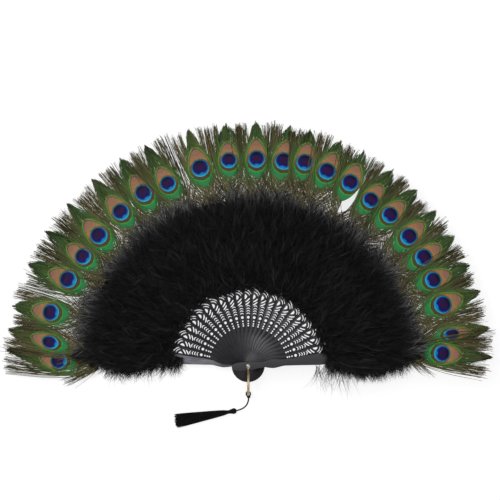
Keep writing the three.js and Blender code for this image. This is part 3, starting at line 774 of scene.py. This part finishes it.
def combed(random, family, eye_radius, turn, point):
    """Barbs of one kind on both sides of a quill, in the feather's own frame: Y outwards from the eye's
    middle, X to the left. turn is how far the feather is turned about its eye, and point how sharp its
    tip is. Returns the barbs' paths and their chance numbers."""
    count, unruly = family["count"], family["unruly"]
    axis = (-eye_radius * sin(turn), -eye_radius * cos(turn))
    foot = max(family["foot"] * MM, FEATHER_SEAT - eye_radius + 4 * MM)
    (leave_foot, leave_tip), (ends_foot, ends_tip) = family["leave"], family["ends"]
    paths, chances = [], []
    for side in (-1, 1):
        places = (np.arange(count) + random.uniform(-0.4, 0.4, count)) / (count - 1)
        share = np.sort(np.clip(places, 0, 1))**0.85
        start = np.zeros((count, 3))
        start[:, 1] = foot + share * (family["tip"] * MM - foot)
        leave = leave_foot + (leave_tip - leave_foot) * share
        ends = (ends_foot + (ends_tip - ends_foot) * share**1.6) * point
        leave, ends = (np.radians(part + random.normal(0, unruly, count)) for part in (leave, ends))
        shape = [
            start, pi / 2 + side * leave, pi / 2 + side * ends,
            family["settle"] * MM * random.uniform(0.85, 1.15, count),
            np.radians(random.uniform(0, family["rise"], count)),
            np.radians(random.uniform(-60, 20, count)),
            np.radians(random.normal(0, 40, count)) * unruly / 10,
        ]
        length = random.uniform(*family["length"], count) * MM
        length = np.minimum(length, 1.6 * (FEATHER_REACH - eye_radius - start[:, 1]))
        cut = FEATHER_REACH - random.uniform(0, 5.5 * MM, count)
        cut = cut - family["short"] * MM * random.random(count)**3
        path, kept = trimmed(shape, length, np.zeros(count), cut, 16, axis=axis, taper=family["taper"])
        paths.append(clumped(path, random, family["clump"]))
        chances.append(random.uniform(*family["chance"], count)[kept])
    return np.concatenate(paths), np.concatenate(chances)


def trimmed(shape, length, low, high, steps, axis=(0, 0), lowest=None, taper=0):
    """Strands cut off where they leave the ring between two distances from an axis, or come nearer to the
    down's hem than lowest. taper brings the outer distance in to both sides. Returns the paths
    and which strands they are."""
    trial = grown(*shape, length, 24)
    radius = np.hypot(trial[..., 0] - axis[0], trial[..., 1] - axis[1])
    inside = (radius > low[:, None]) & (radius + taper * np.abs(trial[..., 0]) < high[:, None])
    if lowest is not None:
        inside &= trial[..., 1] > hem(radius) + lowest[:, None]
    share = np.logical_and.accumulate(inside, axis=1).mean(axis=1)
    kept = share > 0.2
    return grown(*[part[kept] for part in shape], (length * share)[kept], steps), kept


def drawn_in(group, pull, axis):
    """Strands of a group moved towards their mean, by a share for each step."""
    return group + (group.mean(axis=axis, keepdims=True) - group) * pull[:, None]


def clumped(paths, random, strength):
    """Neighbouring barbs drawn together towards their tips."""
    at, made = 0, paths.copy()
    pull = strength * smooth(0.35, 1.0, np.linspace(0, 1, paths.shape[1]))
    while at < len(paths):
        after = at + int(random.integers(2, 8))
        made[at:after] = drawn_in(paths[at:after], pull, 0)
        at = after
    return made


def eye_web(random, disc):
    """The close-knit barbs of the eye as one sheet: rows of points that leave the quill at a slant."""
    rows, reach, half_width = 84, 2.35 * disc, 1.36 * disc
    y = np.linspace(-reach, reach, rows)
    half = half_width * np.clip(1 - np.abs(y / reach)**1.9, 0, 1)**0.62 * (1 + random.normal(0, 0.02, rows))
    across = np.linspace(-1, 1, 15)
    x = half[:, None] * across
    z = random.normal(0, 0.05 * MM, rows)[:, None] - 0.3 * MM * across**2
    return np.stack([x, y[:, None] + 0.45 * np.abs(x), z], axis=-1)


def make_feathers():
    barbs = eye_finish()
    quill_finish = painted_bamboo("feather_quill", "3a3322", "7a6c4c", 0.45)
    for stick in range(STICK_COUNT):
        if stick == BARE_STICK:
            continue
        random = rng(1, stick)
        node = f"eye_feather_{stick:02d}"
        level = sum(heights(node)) / 2
        angle = stick_angle(stick) + EYE_LEAN_SHARES[stick] * PITCH
        eye_radius = FEATHER_SEAT + EYE_ALONG_SHARES[stick] * FEATHER_LENGTH
        narrow = NARROW_EYES.get(stick, 1) * random.uniform(0.94, 1.04)
        turn, point = radians(random.normal(0, 4.5)), random.uniform(0.85, 1.15)
        dull, disc = 0.2 * random.random()**1.5, DISC_RADIUS * random.uniform(0.86, 0.99)
        points, places, quads, start = [], [], [], 0

        def keep(part_points, part_quads, chances, lift=0.0):
            nonlocal start
            place = part_points / disc
            place[:, 0] /= narrow
            place[:, 2] = chances
            places.append(place)
            points.append(part_points + [0, 0, lift])
            quads.append(part_quads.reshape(-1, 4) + start)
            start += len(part_points)

        for family in BARB_FAMILIES:
            paths, chances = combed(random, family, eye_radius, turn, point)
            if stick in GAP_STICKS:
                clear = clear_of_gap(in_row_frame(paths.reshape(-1, 3), angle, eye_radius, level, turn))
                clear = clear.reshape(paths.shape[:2]).all(axis=1)
                paths, chances = paths[clear], chances[clear]
            half = family["width"] / 2 * MM * (1 - 0.4 * smooth(0.5, 1, shares(paths.shape[1])))
            half = half * np.ones((len(paths), 1))
            made = strips(paths, half, sideways(paths, random.normal(0, 0.4, len(paths))))
            keep(*made, np.repeat(np.minimum(chances + dull, 1), 2 * paths.shape[1]))
        web = eye_web(random, disc) * [narrow, 1, 1]
        rows, columns, _ = web.shape
        web_quads = quads_of(np.arange(rows * columns).reshape(rows, columns))[..., [0, 3, 2, 1]]
        keep(web.reshape(-1, 3), web_quads, np.repeat(0.38 + 0.25 * random.random(rows), columns), WEB_LIFT)
        turned = in_row_frame(np.concatenate(points), angle, eye_radius, level, turn)
        piece = make_piece(f"plume_{stick:02d}", turned, np.concatenate(quads), barbs, body_of_stick(stick),
                           [node], {"eye": np.concatenate(places)})
        flatten(piece)
        make_quill(stick, angle, eye_radius, level, quill_finish)


def clear_of_gap(points):
    """Which points of the row frame lie outside the gap between two feathers."""
    out, across = polar(1, GAP_ANGLE), polar(1, GAP_ANGLE + pi / 2)
    away = points[:, :2] - polar(GAP_RADIUS, GAP_ANGLE)
    return (away @ across / GAP_WIDE)**2 + (away @ out / GAP_LONG)**2 > 1


def in_row_frame(points, angle, radius, level, turn):
    """Points of a feather's own frame, Y outwards from its eye, in the row frame."""
    out = np.array([cos(angle + turn), sin(angle + turn)])
    left = np.array([-out[1], out[0]])
    flat = points[:, :1] * left + points[:, 1:2] * out + polar(radius, angle)
    return np.column_stack([flat, points[:, 2] + level])


def make_quill(stick, angle, eye_radius, level, finish):
    """The feather's shaft, from its seat on the stick to the heart of the eye."""
    sides, steps = 8, 10
    start = np.append(polar(FEATHER_SEAT, stick_angle(stick)), level)
    bend = np.append(polar(FEATHER_SEAT + 0.35 * (eye_radius - FEATHER_SEAT), stick_angle(stick)), level)
    end = np.append(polar(eye_radius, angle), level + 0.3 * MM)
    share = np.linspace(0, 1, steps + 1)[:, None]
    middle = (1 - share)**2 * start + 2 * share * (1 - share) * bend + share**2 * end
    points, faces = tube(middle, (0.5 - 0.32 * share[:, 0]) * MM, sides)
    along = np.repeat(share[:, 0] * 0.06, sides)
    ring = np.tile(np.arange(sides) * 0.3 * MM, steps + 1)
    grain = np.column_stack([along, ring, np.full(len(along), stick)])
    grain = np.concatenate([grain, grain[:1], grain[-1:]])
    make_piece(f"quill_{stick:02d}", points, faces, finish, body_of_stick(stick), attributes={"grain": grain})


# Marabou

def hem(radius):
    """The down's lower edge below the outer sticks, as a Y of the frame. It sinks between 86 and 122 mm
    from the rivet and rises again between 132 and 178 mm."""
    return (-1 - 6.5 * smooth(86, 122, radius / MM) + 14 * smooth(132, 178, radius / MM)) * MM


def hump(radius, front):
    """Height of the down's dense body above its floor."""
    inner, outer = CORE_REACH[front]
    share = np.clip((radius - inner) / (outer - inner), 0, 1)
    return (0.3 + CORE_HEIGHT * np.sin(np.pi * (share * 0.94 + 0.03))**0.5) * MM


def plumes_of(stick, random, front):
    """The marabou plumes that one stick carries: which of them face inwards, and each one's angle, radius,
    length, heading and curl. They are seated between two shares of the stick's room, with more room beyond
    the two outer sticks."""
    low, high = -0.62 - (0.95 if stick == 0 else 0), 0.62 + (0.95 if stick == LAST else 0)
    plumes = int((52 if front else 16 + (layer(stick) - TABLE) / MM) * (high - low) / 1.24)
    seat_share = random.uniform(low, high, plumes)
    angle = stick_angle(stick) - seat_share * PITCH
    lean = np.radians(42) * np.sign(seat_share) * np.clip(np.abs(seat_share) - 0.45, 0, 1.2)
    kind = random.random(plumes)
    facing_in = kind < FACING_IN[front]
    seats = [random.uniform(*radii, plumes) for radii in SEAT_RADII[front]]
    kinds = [facing_in, kind < 0.42, kind < 0.7][:len(seats) - 1]
    radius = np.select(kinds, seats[:-1], seats[-1]) * MM
    length = np.where(facing_in, random.uniform(3, 6, plumes), random.uniform(16, 34, plumes)) * MM
    heading = angle - lean + np.radians(random.normal(0, 15, plumes))
    heading[facing_in] += pi + np.radians(random.normal(0, 35, facing_in.sum()))
    curl = np.radians(random.normal(0, 0.6, plumes)) / MM
    return facing_in, angle, radius, length, heading, curl


def ragged_edges(stick, random, angle):
    """Radii between which barbs at these angles stay, and how far above the hem each ends. A few barbs lie
    over the piercing."""
    count = len(angle)
    wave = 3 * np.sin(9 * angle + 1) + 2 * np.sin(23 * angle)
    outer = (DOWN_TO + wave + random.normal(0, 3.5, count) + 6 * random.random(count)**4) * MM
    inner = (DOWN_FROM - 4 * (stick == 0) + np.abs(random.normal(0, 3.5, count)) + 0.4 * wave) * MM
    inner = inner - 8 * random.random(count)**8 * MM
    lowest = random.normal(3, 2.5, count) * MM
    return inner, outer, lowest if stick in OUTER_STICKS else None


def down_strands(stick, random, front):
    """The plumes' barbs, in locks on both sides of each shaft, in the row frame, and their tones."""
    facing_in, angle, radius, length, heading, curl = plumes_of(stick, random, front)
    plumes = len(angle)
    locks = plumes * BARBS_PER_PLUME // BARBS_PER_LOCK
    total = locks * BARBS_PER_LOCK
    which = np.repeat(np.arange(plumes), BARBS_PER_PLUME)
    lock = np.repeat(np.arange(locks), BARBS_PER_LOCK)
    share = np.tile(np.linspace(0.02, 1, BARBS_PER_PLUME), plumes)
    run = share * length[which]
    along = heading[which] + curl[which] * run
    start = np.zeros((total, 3))
    start[:, :2] = polar(radius, angle)[which] + polar(run, heading[which] + curl[which] * run / 2)
    if front:
        depth = random.uniform(-0.5, 4.5, plumes)[which] * MM
        top = layer(stick) + CORE_LIFT + hump(np.hypot(start[:, 0], start[:, 1]), True)
        start[:, 2] = top + depth * np.where(facing_in[which], 0.4, 1)
    else:
        depth = random.uniform(0, 0.6 * (layer(stick) - TABLE), plumes)[which]
        start[:, 2] = layer(stick) - CORE_LIFT - depth - 0.3 * run
    side = np.where(lock % 2 == 0, 1, -1)
    rough = random.normal(0, 1, (4, locks))[:, lock] * 0.8 + random.normal(0, 1, (4, total)) * 0.45
    shape = [
        start,
        along + side * np.radians(48 + 13 * rough[0]) * (1 - 0.6 * share),
        along + side * np.radians(10 + 9 * rough[1]),
        np.full(total, 6 * MM),
        np.radians((7 if front else -10) + 17 * rough[2]),
        np.radians(random.normal(-1.0 if front else 0.2, 1.0, total)) / MM,
        np.radians(1.3 * rough[3]) / MM,
    ]
    reach = np.where(facing_in[which], random.uniform(5, 12, total), random.uniform(13, 26, total))
    reach = reach * MM * (1 - 0.3 * share)
    inner, outer, lowest = ragged_edges(stick, random, angle[which])
    paths, kept = trimmed(shape, reach, inner, outer, STRAND_STEPS, lowest=lowest)
    tone = (0.2 * random.random(total) + 0.8 * (random.random(locks)**2.2)[lock])[kept]
    # Front barbs that end in the outer fringe get a tone above 1: painted light that makes their tips pale.
    if front:
        tip = np.hypot(paths[:, -1, 0], paths[:, -1, 1]) / MM
        tone = tone + 2.2 * smooth(170, 187, tip) * random.random(len(tone))
    return paths, tone


def hem_strands(stick, random):
    """Tufts of down along the lower edge. They point downwards near the rivet and outwards at the far end."""
    loose, size = LOOSE_DOWN[stick], TUFT_SIZE
    tufts, side, nearest, (inner, outer) = (loose[key] for key in ("tufts", "side", "nearest", "headings"))
    total = tufts * size

    def each(values):
        """The tufts' values, for each of their strands."""
        return np.repeat(values, size)

    share = each(random.random(tufts))
    radius = (nearest + (TUFT_REACH - nearest) * share + random.normal(0, 1.1, total)) * MM
    below, floor = layer(stick) - 2 * MM, TABLE + 0.5 * MM
    lowest = np.where(radius[::size] < 120 * MM, max(below, floor), floor)
    level = each(random.uniform(lowest, layer(stick) + 7 * MM))
    on_end = level < below  # on the end of the back row, where they fan out from its middle
    across = hem(radius) + np.where(on_end, 4, each(random.uniform(2, 11, tufts))) * MM
    start = np.column_stack([side * np.sqrt(radius**2 - across**2), across, level])
    heading = inner + (outer - inner) * share**0.9
    heading = np.where(on_end, -90 + side * 60 * np.clip((radius / MM - 147) / 25, -1, 1), heading)
    heading = np.radians(heading + each(random.normal(0, 13, tufts)))
    shape = [
        start, heading, heading + np.radians(random.normal(0, 15, total)), np.full(total, 6 * MM),
        np.radians(each(random.normal(-8, 14, tufts))), np.radians(np.full(total, -0.5)) / MM,
        np.radians(each(random.normal(0, 1.6, tufts))) / MM,
    ]
    length = each(7 + 12 * random.random(tufts)**1.5) * random.uniform(0.6, 1.3, total) * MM
    points = STRAND_STEPS + 1
    group = grown(*shape, length, STRAND_STEPS).reshape(tufts, size, points, 3)
    group = drawn_in(group, 0.35 * smooth(0.1, 1, np.linspace(0, 1, points)), 1)
    return group.reshape(-1, points, 3), each(random.random(tufts)**2)


def wisps(stick, random):
    """Long loose strands that hang out of the fringe below the outer sticks."""
    loose = LOOSE_DOWN[stick]
    count, side = loose["wisps"], loose["side"]
    radius = (loose["wisp_from"] + loose["wisp_room"] * random.random(count)**loose["crowding"]) * MM
    angle = (pi if side < 0 else 0) - np.radians(random.uniform(-2, 5, count)) * side
    start = np.column_stack([polar(radius, angle), random.uniform(0.8, 1.05, count) * layer(stick)])
    heading = np.radians(random.normal(loose["wisp_heading"], 14, count))
    shape = [
        start, heading, heading + np.radians(random.normal(0, 16, count)), np.full(count, 12 * MM),
        np.radians(random.uniform(-30, 0, count)), np.radians(random.uniform(-0.4, 0.6, count)) / MM,
        np.radians(random.normal(0, 1.0, count)) / MM,
    ]
    length = random.uniform(8, loose["longest"], count) * MM
    return grown(*shape, length, STRAND_STEPS), random.random(count)


def down_core(stick, front):
    """A lumpy closed body under the loose barbs, so that no light comes through the down."""
    low, high = -0.56 - (0.9 if stick == 0 else 0), 0.56 + (0.9 if stick == LAST else 0)
    across = np.linspace(low, high, 9 if stick in OUTER_STICKS else 5)
    inner, outer = CORE_REACH[front]
    radii = np.linspace(inner, outer, 15)
    beyond = smooth(0.6, 1.5, np.abs(across))[None, :]
    spread = radii[:, None] + 12 * MM * beyond * ((outer - radii) / (outer - inner))[:, None]
    grid = np.zeros((2, len(radii), len(across), 3))
    grid[..., :2] = polar(spread, (stick_angle(stick) - across * PITCH)[None, :])
    grid[..., 1] = np.maximum(grid[..., 1], (hem(radii) + 4.5 * MM)[None, :, None])
    height = hump(radii, front)[:, None]
    lumps = rng(2, stick, int(front)).normal(0, 0.1, (len(radii), len(across))) * height
    if front:
        under = layer(stick) + CORE_LIFT
        over = under + 0.3 * MM + (height + lumps) * (1 - 0.5 * beyond)
    else:
        over = layer(stick) - 0.4 * MM
        under = TABLE + 1.0 * MM + (1 - height / (CORE_HEIGHT * MM)) * 0.5 * (layer(stick) - TABLE)
        under = np.minimum(under, over - 0.3 * MM)
    grid[0, ..., 2], grid[1, ..., 2] = under, over
    return shell(grid)


def down_piece(row, stick, finish, random, strands, lowest, highest, nodes, core=None):
    """One object of down: strands as tapering strips, kept between two heights, with the dense body under
    them where there is one."""
    paths, tones = strands
    paths[..., 2] = np.clip(paths[..., 2], lowest, highest)
    share = shares(paths.shape[1])
    half = (BARB_WIDTH if core else LOOSE_WIDTH) / 2 * (1 - 0.85 * share**1.6)
    half = half * random.uniform(0.7, 1.4, (len(paths), 1))
    points, quads = strips(paths, half, sideways(paths, random.normal(0, 0.7, len(paths))))
    strand = per_point((*paths.shape[:2], 2), share[..., None], (0, 1), tones[:, None, None])
    if core:
        quads = np.concatenate([quads, core[1] + len(points)])
        points = np.concatenate([points, core[0]])
        strand = np.concatenate([strand, np.tile([0.2, 0, 0.0], (len(core[0]), 1))])
    name = f"down_{row}_{stick:02d}"
    return make_piece(name, points, quads, finish, body_of_stick(stick), nodes, {"strand": strand})


def make_down():
    """The rows of down. Each piece of down gets a mesh of its own, except the front down of the front guard
    and the back down of the rear guard."""
    black = down_finish()
    for stick in range(STICK_COUNT):
        outer, level = stick in OUTER_STICKS, layer(stick)
        lowest = TABLE + 0.3 * MM if outer else level + 1.0 * MM
        room = lowest, level + DOWN_HEIGHT, ("marabou_front_inner", "marabou_front_outer")
        random = rng(3, stick, 1)
        piece = down_piece("front", stick, black, random, down_strands(stick, random, True), *room,
                           down_core(stick, True))
        if stick != LAST:
            flatten(piece)
        if outer:
            parts = zip(hem_strands(stick, random), wisps(stick, random))
            piece = down_piece("hem", stick, black, random, [np.concatenate(both) for both in parts], *room)
            flatten(piece)
        random = rng(3, stick, 0)
        piece = down_piece("back", stick, black, random, down_strands(stick, random, False),
                           TABLE + 0.1 * MM, level - 0.3 * MM, ["marabou_back"], down_core(stick, False))
        if stick != 0:
            flatten(piece)


# Rivet and bail

def turned_piece(name, profile, finish, node):
    """A piece turned about the rivet's axis, from a closed profile of radius and height."""
    points = np.array([[r * cos(t), r * sin(t), z] for t in around(40) for r, z in profile])
    here = np.arange(len(points)).reshape(-1, len(profile))
    after = np.roll(here, -1, axis=0)
    faces = np.stack([here, after, np.roll(after, -1, axis=1), np.roll(here, -1, axis=1)], axis=-1)
    make_piece(name, points, faces.reshape(-1, 4), finish, "fan_back", [node])


def make_rivet():
    steel = metal("rivet_steel", "c9c9cd", "9a9aa0", 0.26, 1500.0)
    washer = metal("washer_steel", "a2a2a6", "77777c", 0.36, 1500.0)
    bottom, top = heights("rivet_pin")
    dome = [(0.02, 0), (0.9, 0.02), (1.35, 0.12), (1.62, 0.34),
            (1.7, 0.6), (1.66, 0.76), (1.58, 0.8), (1, 0.8)]
    profile = [(r * MM, bottom + z * MM) for r, z in dome]
    profile += [(r * MM, top - z * MM) for r, z in reversed(dome)]
    turned_piece("rivet", profile, steel, "rivet_pin")
    edge = 0.08 * MM
    for node in ("rivet_washer_rear", "rivet_washer_front"):
        under, over = heights(node)
        ring = [(1.25, under + edge), (1.33, under), (2.22, under), (2.3, under + edge),
                (2.3, over - edge), (2.22, over), (1.33, over), (1.25, over - edge)]
        turned_piece(f"fine_{node}", [(r * MM, z) for r, z in ring], washer, node)


def make_bail():
    """A bent wire, with a flat eye on the rivet at each end, under the rivet's caps."""
    brass = metal("bail_brass", "c9b492", "94805c", 0.36, 900.0)
    radius, corner, length, start = 1.3 * MM, 3 * MM, 29.9 * MM, 3.2 * MM
    tab_radius, neck, foot = 2.1 * MM, 0.85 * MM, -5.4 * MM
    cap, thickness, bevel = 1.0 * MM, 0.8 * MM, 0.12 * MM
    low, high = heights("bail")
    rear, front = low + radius, high - radius
    line = [(0, -start, rear)]
    for middle_z, first in ((rear + corner, 0), (front - corner, pi / 2)):
        for turn in first + np.arange(9) / 8 * pi / 2:
            line.append((0, corner - length - corner * sin(turn), middle_z - corner * cos(turn)))
    line.append((0, -start, front))
    parts = [tube(smooth_line(line, 1), radius, 20)]
    tab = [(x, y) for x, y in circle(tab_radius, 40) if not (abs(x) < neck and y < 0)]
    tab.sort(key=lambda point: (atan2(point[1], point[0]) + pi / 2) % (2 * pi))
    outline = np.array([*tab, (-neck, foot), (neck, foot)])
    bottom, top = heights("rivet_pin")
    for eye_bottom in (bottom + cap, top - cap - thickness):
        parts.append(plate([outline, circle(RIVET_HOLE_RADIUS)], thickness, bevel, eye_bottom))
    points, faces = joined(*parts)
    make_piece("bail_wire", points, faces, brass, "bail", ["bail"])


# Tassel

def rope(middle, turns_per_metre):
    """A twisted cord of three plies: its section has one lobe for each ply and turns along the line."""
    sides, plies = 18, 3
    points, faces = tube(middle, 1.0, sides)
    run = np.concatenate([[0], np.cumsum(np.linalg.norm(np.diff(middle, axis=0), axis=1))])
    rings = points[:-2].reshape(len(middle), sides, 3) - middle[:, None]
    turn = around(sides)[None, :] - run[:, None] * turns_per_metre * 2 * pi
    lobes = CORD_RADIUS * (0.9 + 0.12 * np.abs(np.cos(turn * plies / 2)))
    rings = middle[:, None] + rings * lobes[..., None]
    strand = per_point(turn.shape, (run / 0.01)[:, None], turn / (2 * pi), 0.5, ends=2)
    return np.concatenate([rings.reshape(-1, 3), points[-2:]]), faces, strand


def make_tassel():
    cord_finish = thread_finish("tassel_cord", "020202", "0e0e10", 0.5, 6.0)
    thread = thread_finish("tassel_thread", "010101", "101012", 0.4, 3.0)
    route = smooth_line(np.array(CORD_ROUTE) * MM, 8)
    points, faces, strand = rope(route, CORD_TWIST)
    cord = make_piece("cord", points, faces, cord_finish, "tassel", ["tassel_cord"], {"strand": strand})
    points, faces, strand = rope(smooth_line(np.array(LOOP_STRAND) * MM, 8), CORD_TWIST)
    loop = make_piece("cord_loop", points, faces, cord_finish, "tassel", attributes={"strand": strand})
    knot = make_knot(np.array(CORD_ROUTE[KNOT]) * MM, cord_finish)
    head, skirt = make_tassel_head(thread), make_tassel_skirt(thread)


def make_knot(middle, finish):
    """Two tight turns of cord and one across them."""
    parts, strands = [], []
    turn = np.linspace(0, 2 * pi * 0.999, 29)
    for offset, tilt, size in ((0.5, 0.35, 1.1), (-0.5, -0.35, 1.1), (0, 1.5, 1.0)):
        ring = np.column_stack([np.cos(turn), np.sin(turn) * sin(tilt) * 0.5, np.sin(turn) * cos(tilt)])
        points, faces, strand = rope(middle + ([0, offset, 0] + size * ring) * MM, KNOT_TWIST)
        parts.append((points, faces))
        strands.append(strand)
    points, faces = joined(*parts)
    strand = np.concatenate(strands)
    return make_piece("cord_knot", points, faces, finish, "tassel", attributes={"strand": strand})


def tassel_frame(along, across, up):
    """Places of the tassel's own frame, which starts at its head and runs along it, in the row frame."""
    start = np.array(CORD_ROUTE[HEAD_START]) * MM
    start[2] = sum(heights("tassel_head")) / 2
    along, across, up = (np.asarray(v, float)[..., None] for v in (along, across, up))
    return start + TASSEL_ALONG * (along + 0.3 * MM) + TASSEL_ACROSS * across + UP * up


def make_tassel_head(finish):
    """The head, wound with thread: rings of thread stand out along a round profile."""
    rings, sides = 85, 32
    along = np.linspace(0, HEAD_LENGTH, rings)
    body = np.interp(along / HEAD_LENGTH, [0, 0.03, 0.08, 0.16, 0.24, 0.38, 0.54, 0.68, 0.82, 0.96, 1],
                     [0.1, 0.5, 0.75, 0.93, 1, 0.97, 0.8, 0.68, 0.62, 0.64, 0.5]) * HEAD_RADIUS
    body = (body + 0.07 * MM * np.abs(np.sin(along / HEAD_WINDING * pi)))[:, None]
    turn = around(sides)
    points = tassel_frame(np.repeat(along[:, None], sides, 1), body * np.cos(turn), body * np.sin(turn))
    ends = tassel_frame(along[[0, -1]], np.zeros(2), np.zeros(2))
    strand = per_point((rings, sides), turn / (2 * pi), (along / (2 * MM))[:, None], 0, ends=2)
    return make_piece("tassel_head_wound", np.concatenate([points.reshape(-1, 3), ends]),
                      ring_faces(rings, sides), finish, "tassel", ["tassel_head"], {"strand": strand})


def make_tassel_skirt(finish):
    """Threads that leave the neck close together and fan out to a cut end, in bundles."""
    random = rng(5)
    count, steps, bundles = 420, 14, 26
    share = shares(steps + 1)
    turn = random.uniform(0, 2 * pi, count)
    place = polar(np.sqrt(random.random(count)), turn)
    bundle = random.integers(0, bundles, count)
    middles = np.array([place[bundle == number].mean(axis=0) for number in range(bundles)])
    pull = 0.3 * share[..., None]**2
    place = place[:, None] * (1 - pull) + 1.9 * middles[bundle][:, None] * pull
    half_width = np.interp(share, [0, 0.08, 0.24, 0.48, 0.72, 0.88, 1],
                           [0.22, 0.32, 0.42, 0.58, 0.8, 0.97, 1.08]) * SKIRT_HALF_WIDTH
    half_depth = np.interp(share, [0, 0.08, 0.3, 1], [0.62, 0.88, 1, 0.96]) * SKIRT_HALF_DEPTH
    wave = 0.25 * MM * np.sin(share * random.uniform(2, 7, count)[:, None] + turn[:, None])
    cut = np.abs(random.normal(0, 1.6, count)) + random.uniform(0, 3, bundles)[bundle]
    middle = tassel_frame(SKIRT_START + share * (SKIRT_LENGTH - cut[:, None]) * MM,
                          half_width * place[..., 0] + wave, half_depth * place[..., 1] + wave * 0.5)
    corners = around(3)[:, None]
    points = middle[:, :, None] + THREAD_RADIUS * (np.cos(corners) * TASSEL_ACROSS + np.sin(corners) * UP)
    index = np.arange(count * (steps + 1) * 3).reshape(count, steps + 1, 3)
    after = np.roll(index, -1, axis=2)
    quads = np.stack([index[:, :-1], after[:, :-1], after[:, 1:], index[:, 1:]], axis=-1).reshape(-1, 4)
    offset, chance = random.random((2, count))[:, :, None, None]
    strand = per_point((count, steps + 1, 3), (share * 5)[..., None], offset, chance)
    return make_piece("tassel_skirt_threads", points, quads, finish, "tassel", ["tassel_skirt"],
                      {"strand": strand})


# Table and surroundings

def make_table():
    """A plain white table that keeps a soft shadow of the object. What the camera sees is just white."""
    f = Finish("table_white", Roughness=0.9)
    pale = f.mix(f.noise(f.node("TexCoord", output=3), 30.0), "f4f4f4", "f8f8f8")
    seen = f.seen_by("Camera", "Glossy", "Transmission")
    f.set("Base Color", f.mix(seen, pale, "8c8c8c"))
    f.set("Emission Color", "ffffff")
    f.set("Emission Strength", seen * TABLE_GLOW)
    signs = (-1, -1), (1, -1), (1, 1), (-1, 1)
    corners = [(x * TABLE_HALF_SIZE, y * TABLE_HALF_SIZE, TABLE) for x, y in signs]
    mesh = bpy.data.meshes.new("table")
    mesh.from_pydata(corners, [], [(0, 1, 2, 3)])
    mesh.materials.append(f.material)
    linked("table", mesh)


def make_world():
    """White all round for the camera, and a weaker white as light."""
    world = bpy.context.scene.world = bpy.data.worlds.new("studio")
    f = Nodes(world)
    seen = f.seen_by("Camera", "Transmission")
    background = f.tree.nodes["Background"].inputs
    f.put(background["Color"], "ffffff")
    f.put(background["Strength"], f.range(seen, 0.0, 1.0, WORLD_LIGHT, 1.0))


bpy.context.scene.view_settings.view_transform = "Standard"
make_camera()
make_tassel()
make_world()
make_table()
for lamp, settings in LAMPS.items():
    make_area_light(lamp, *settings)
make_sticks()
make_leaf()
make_feathers()
make_down()
make_rivet()
make_bail()
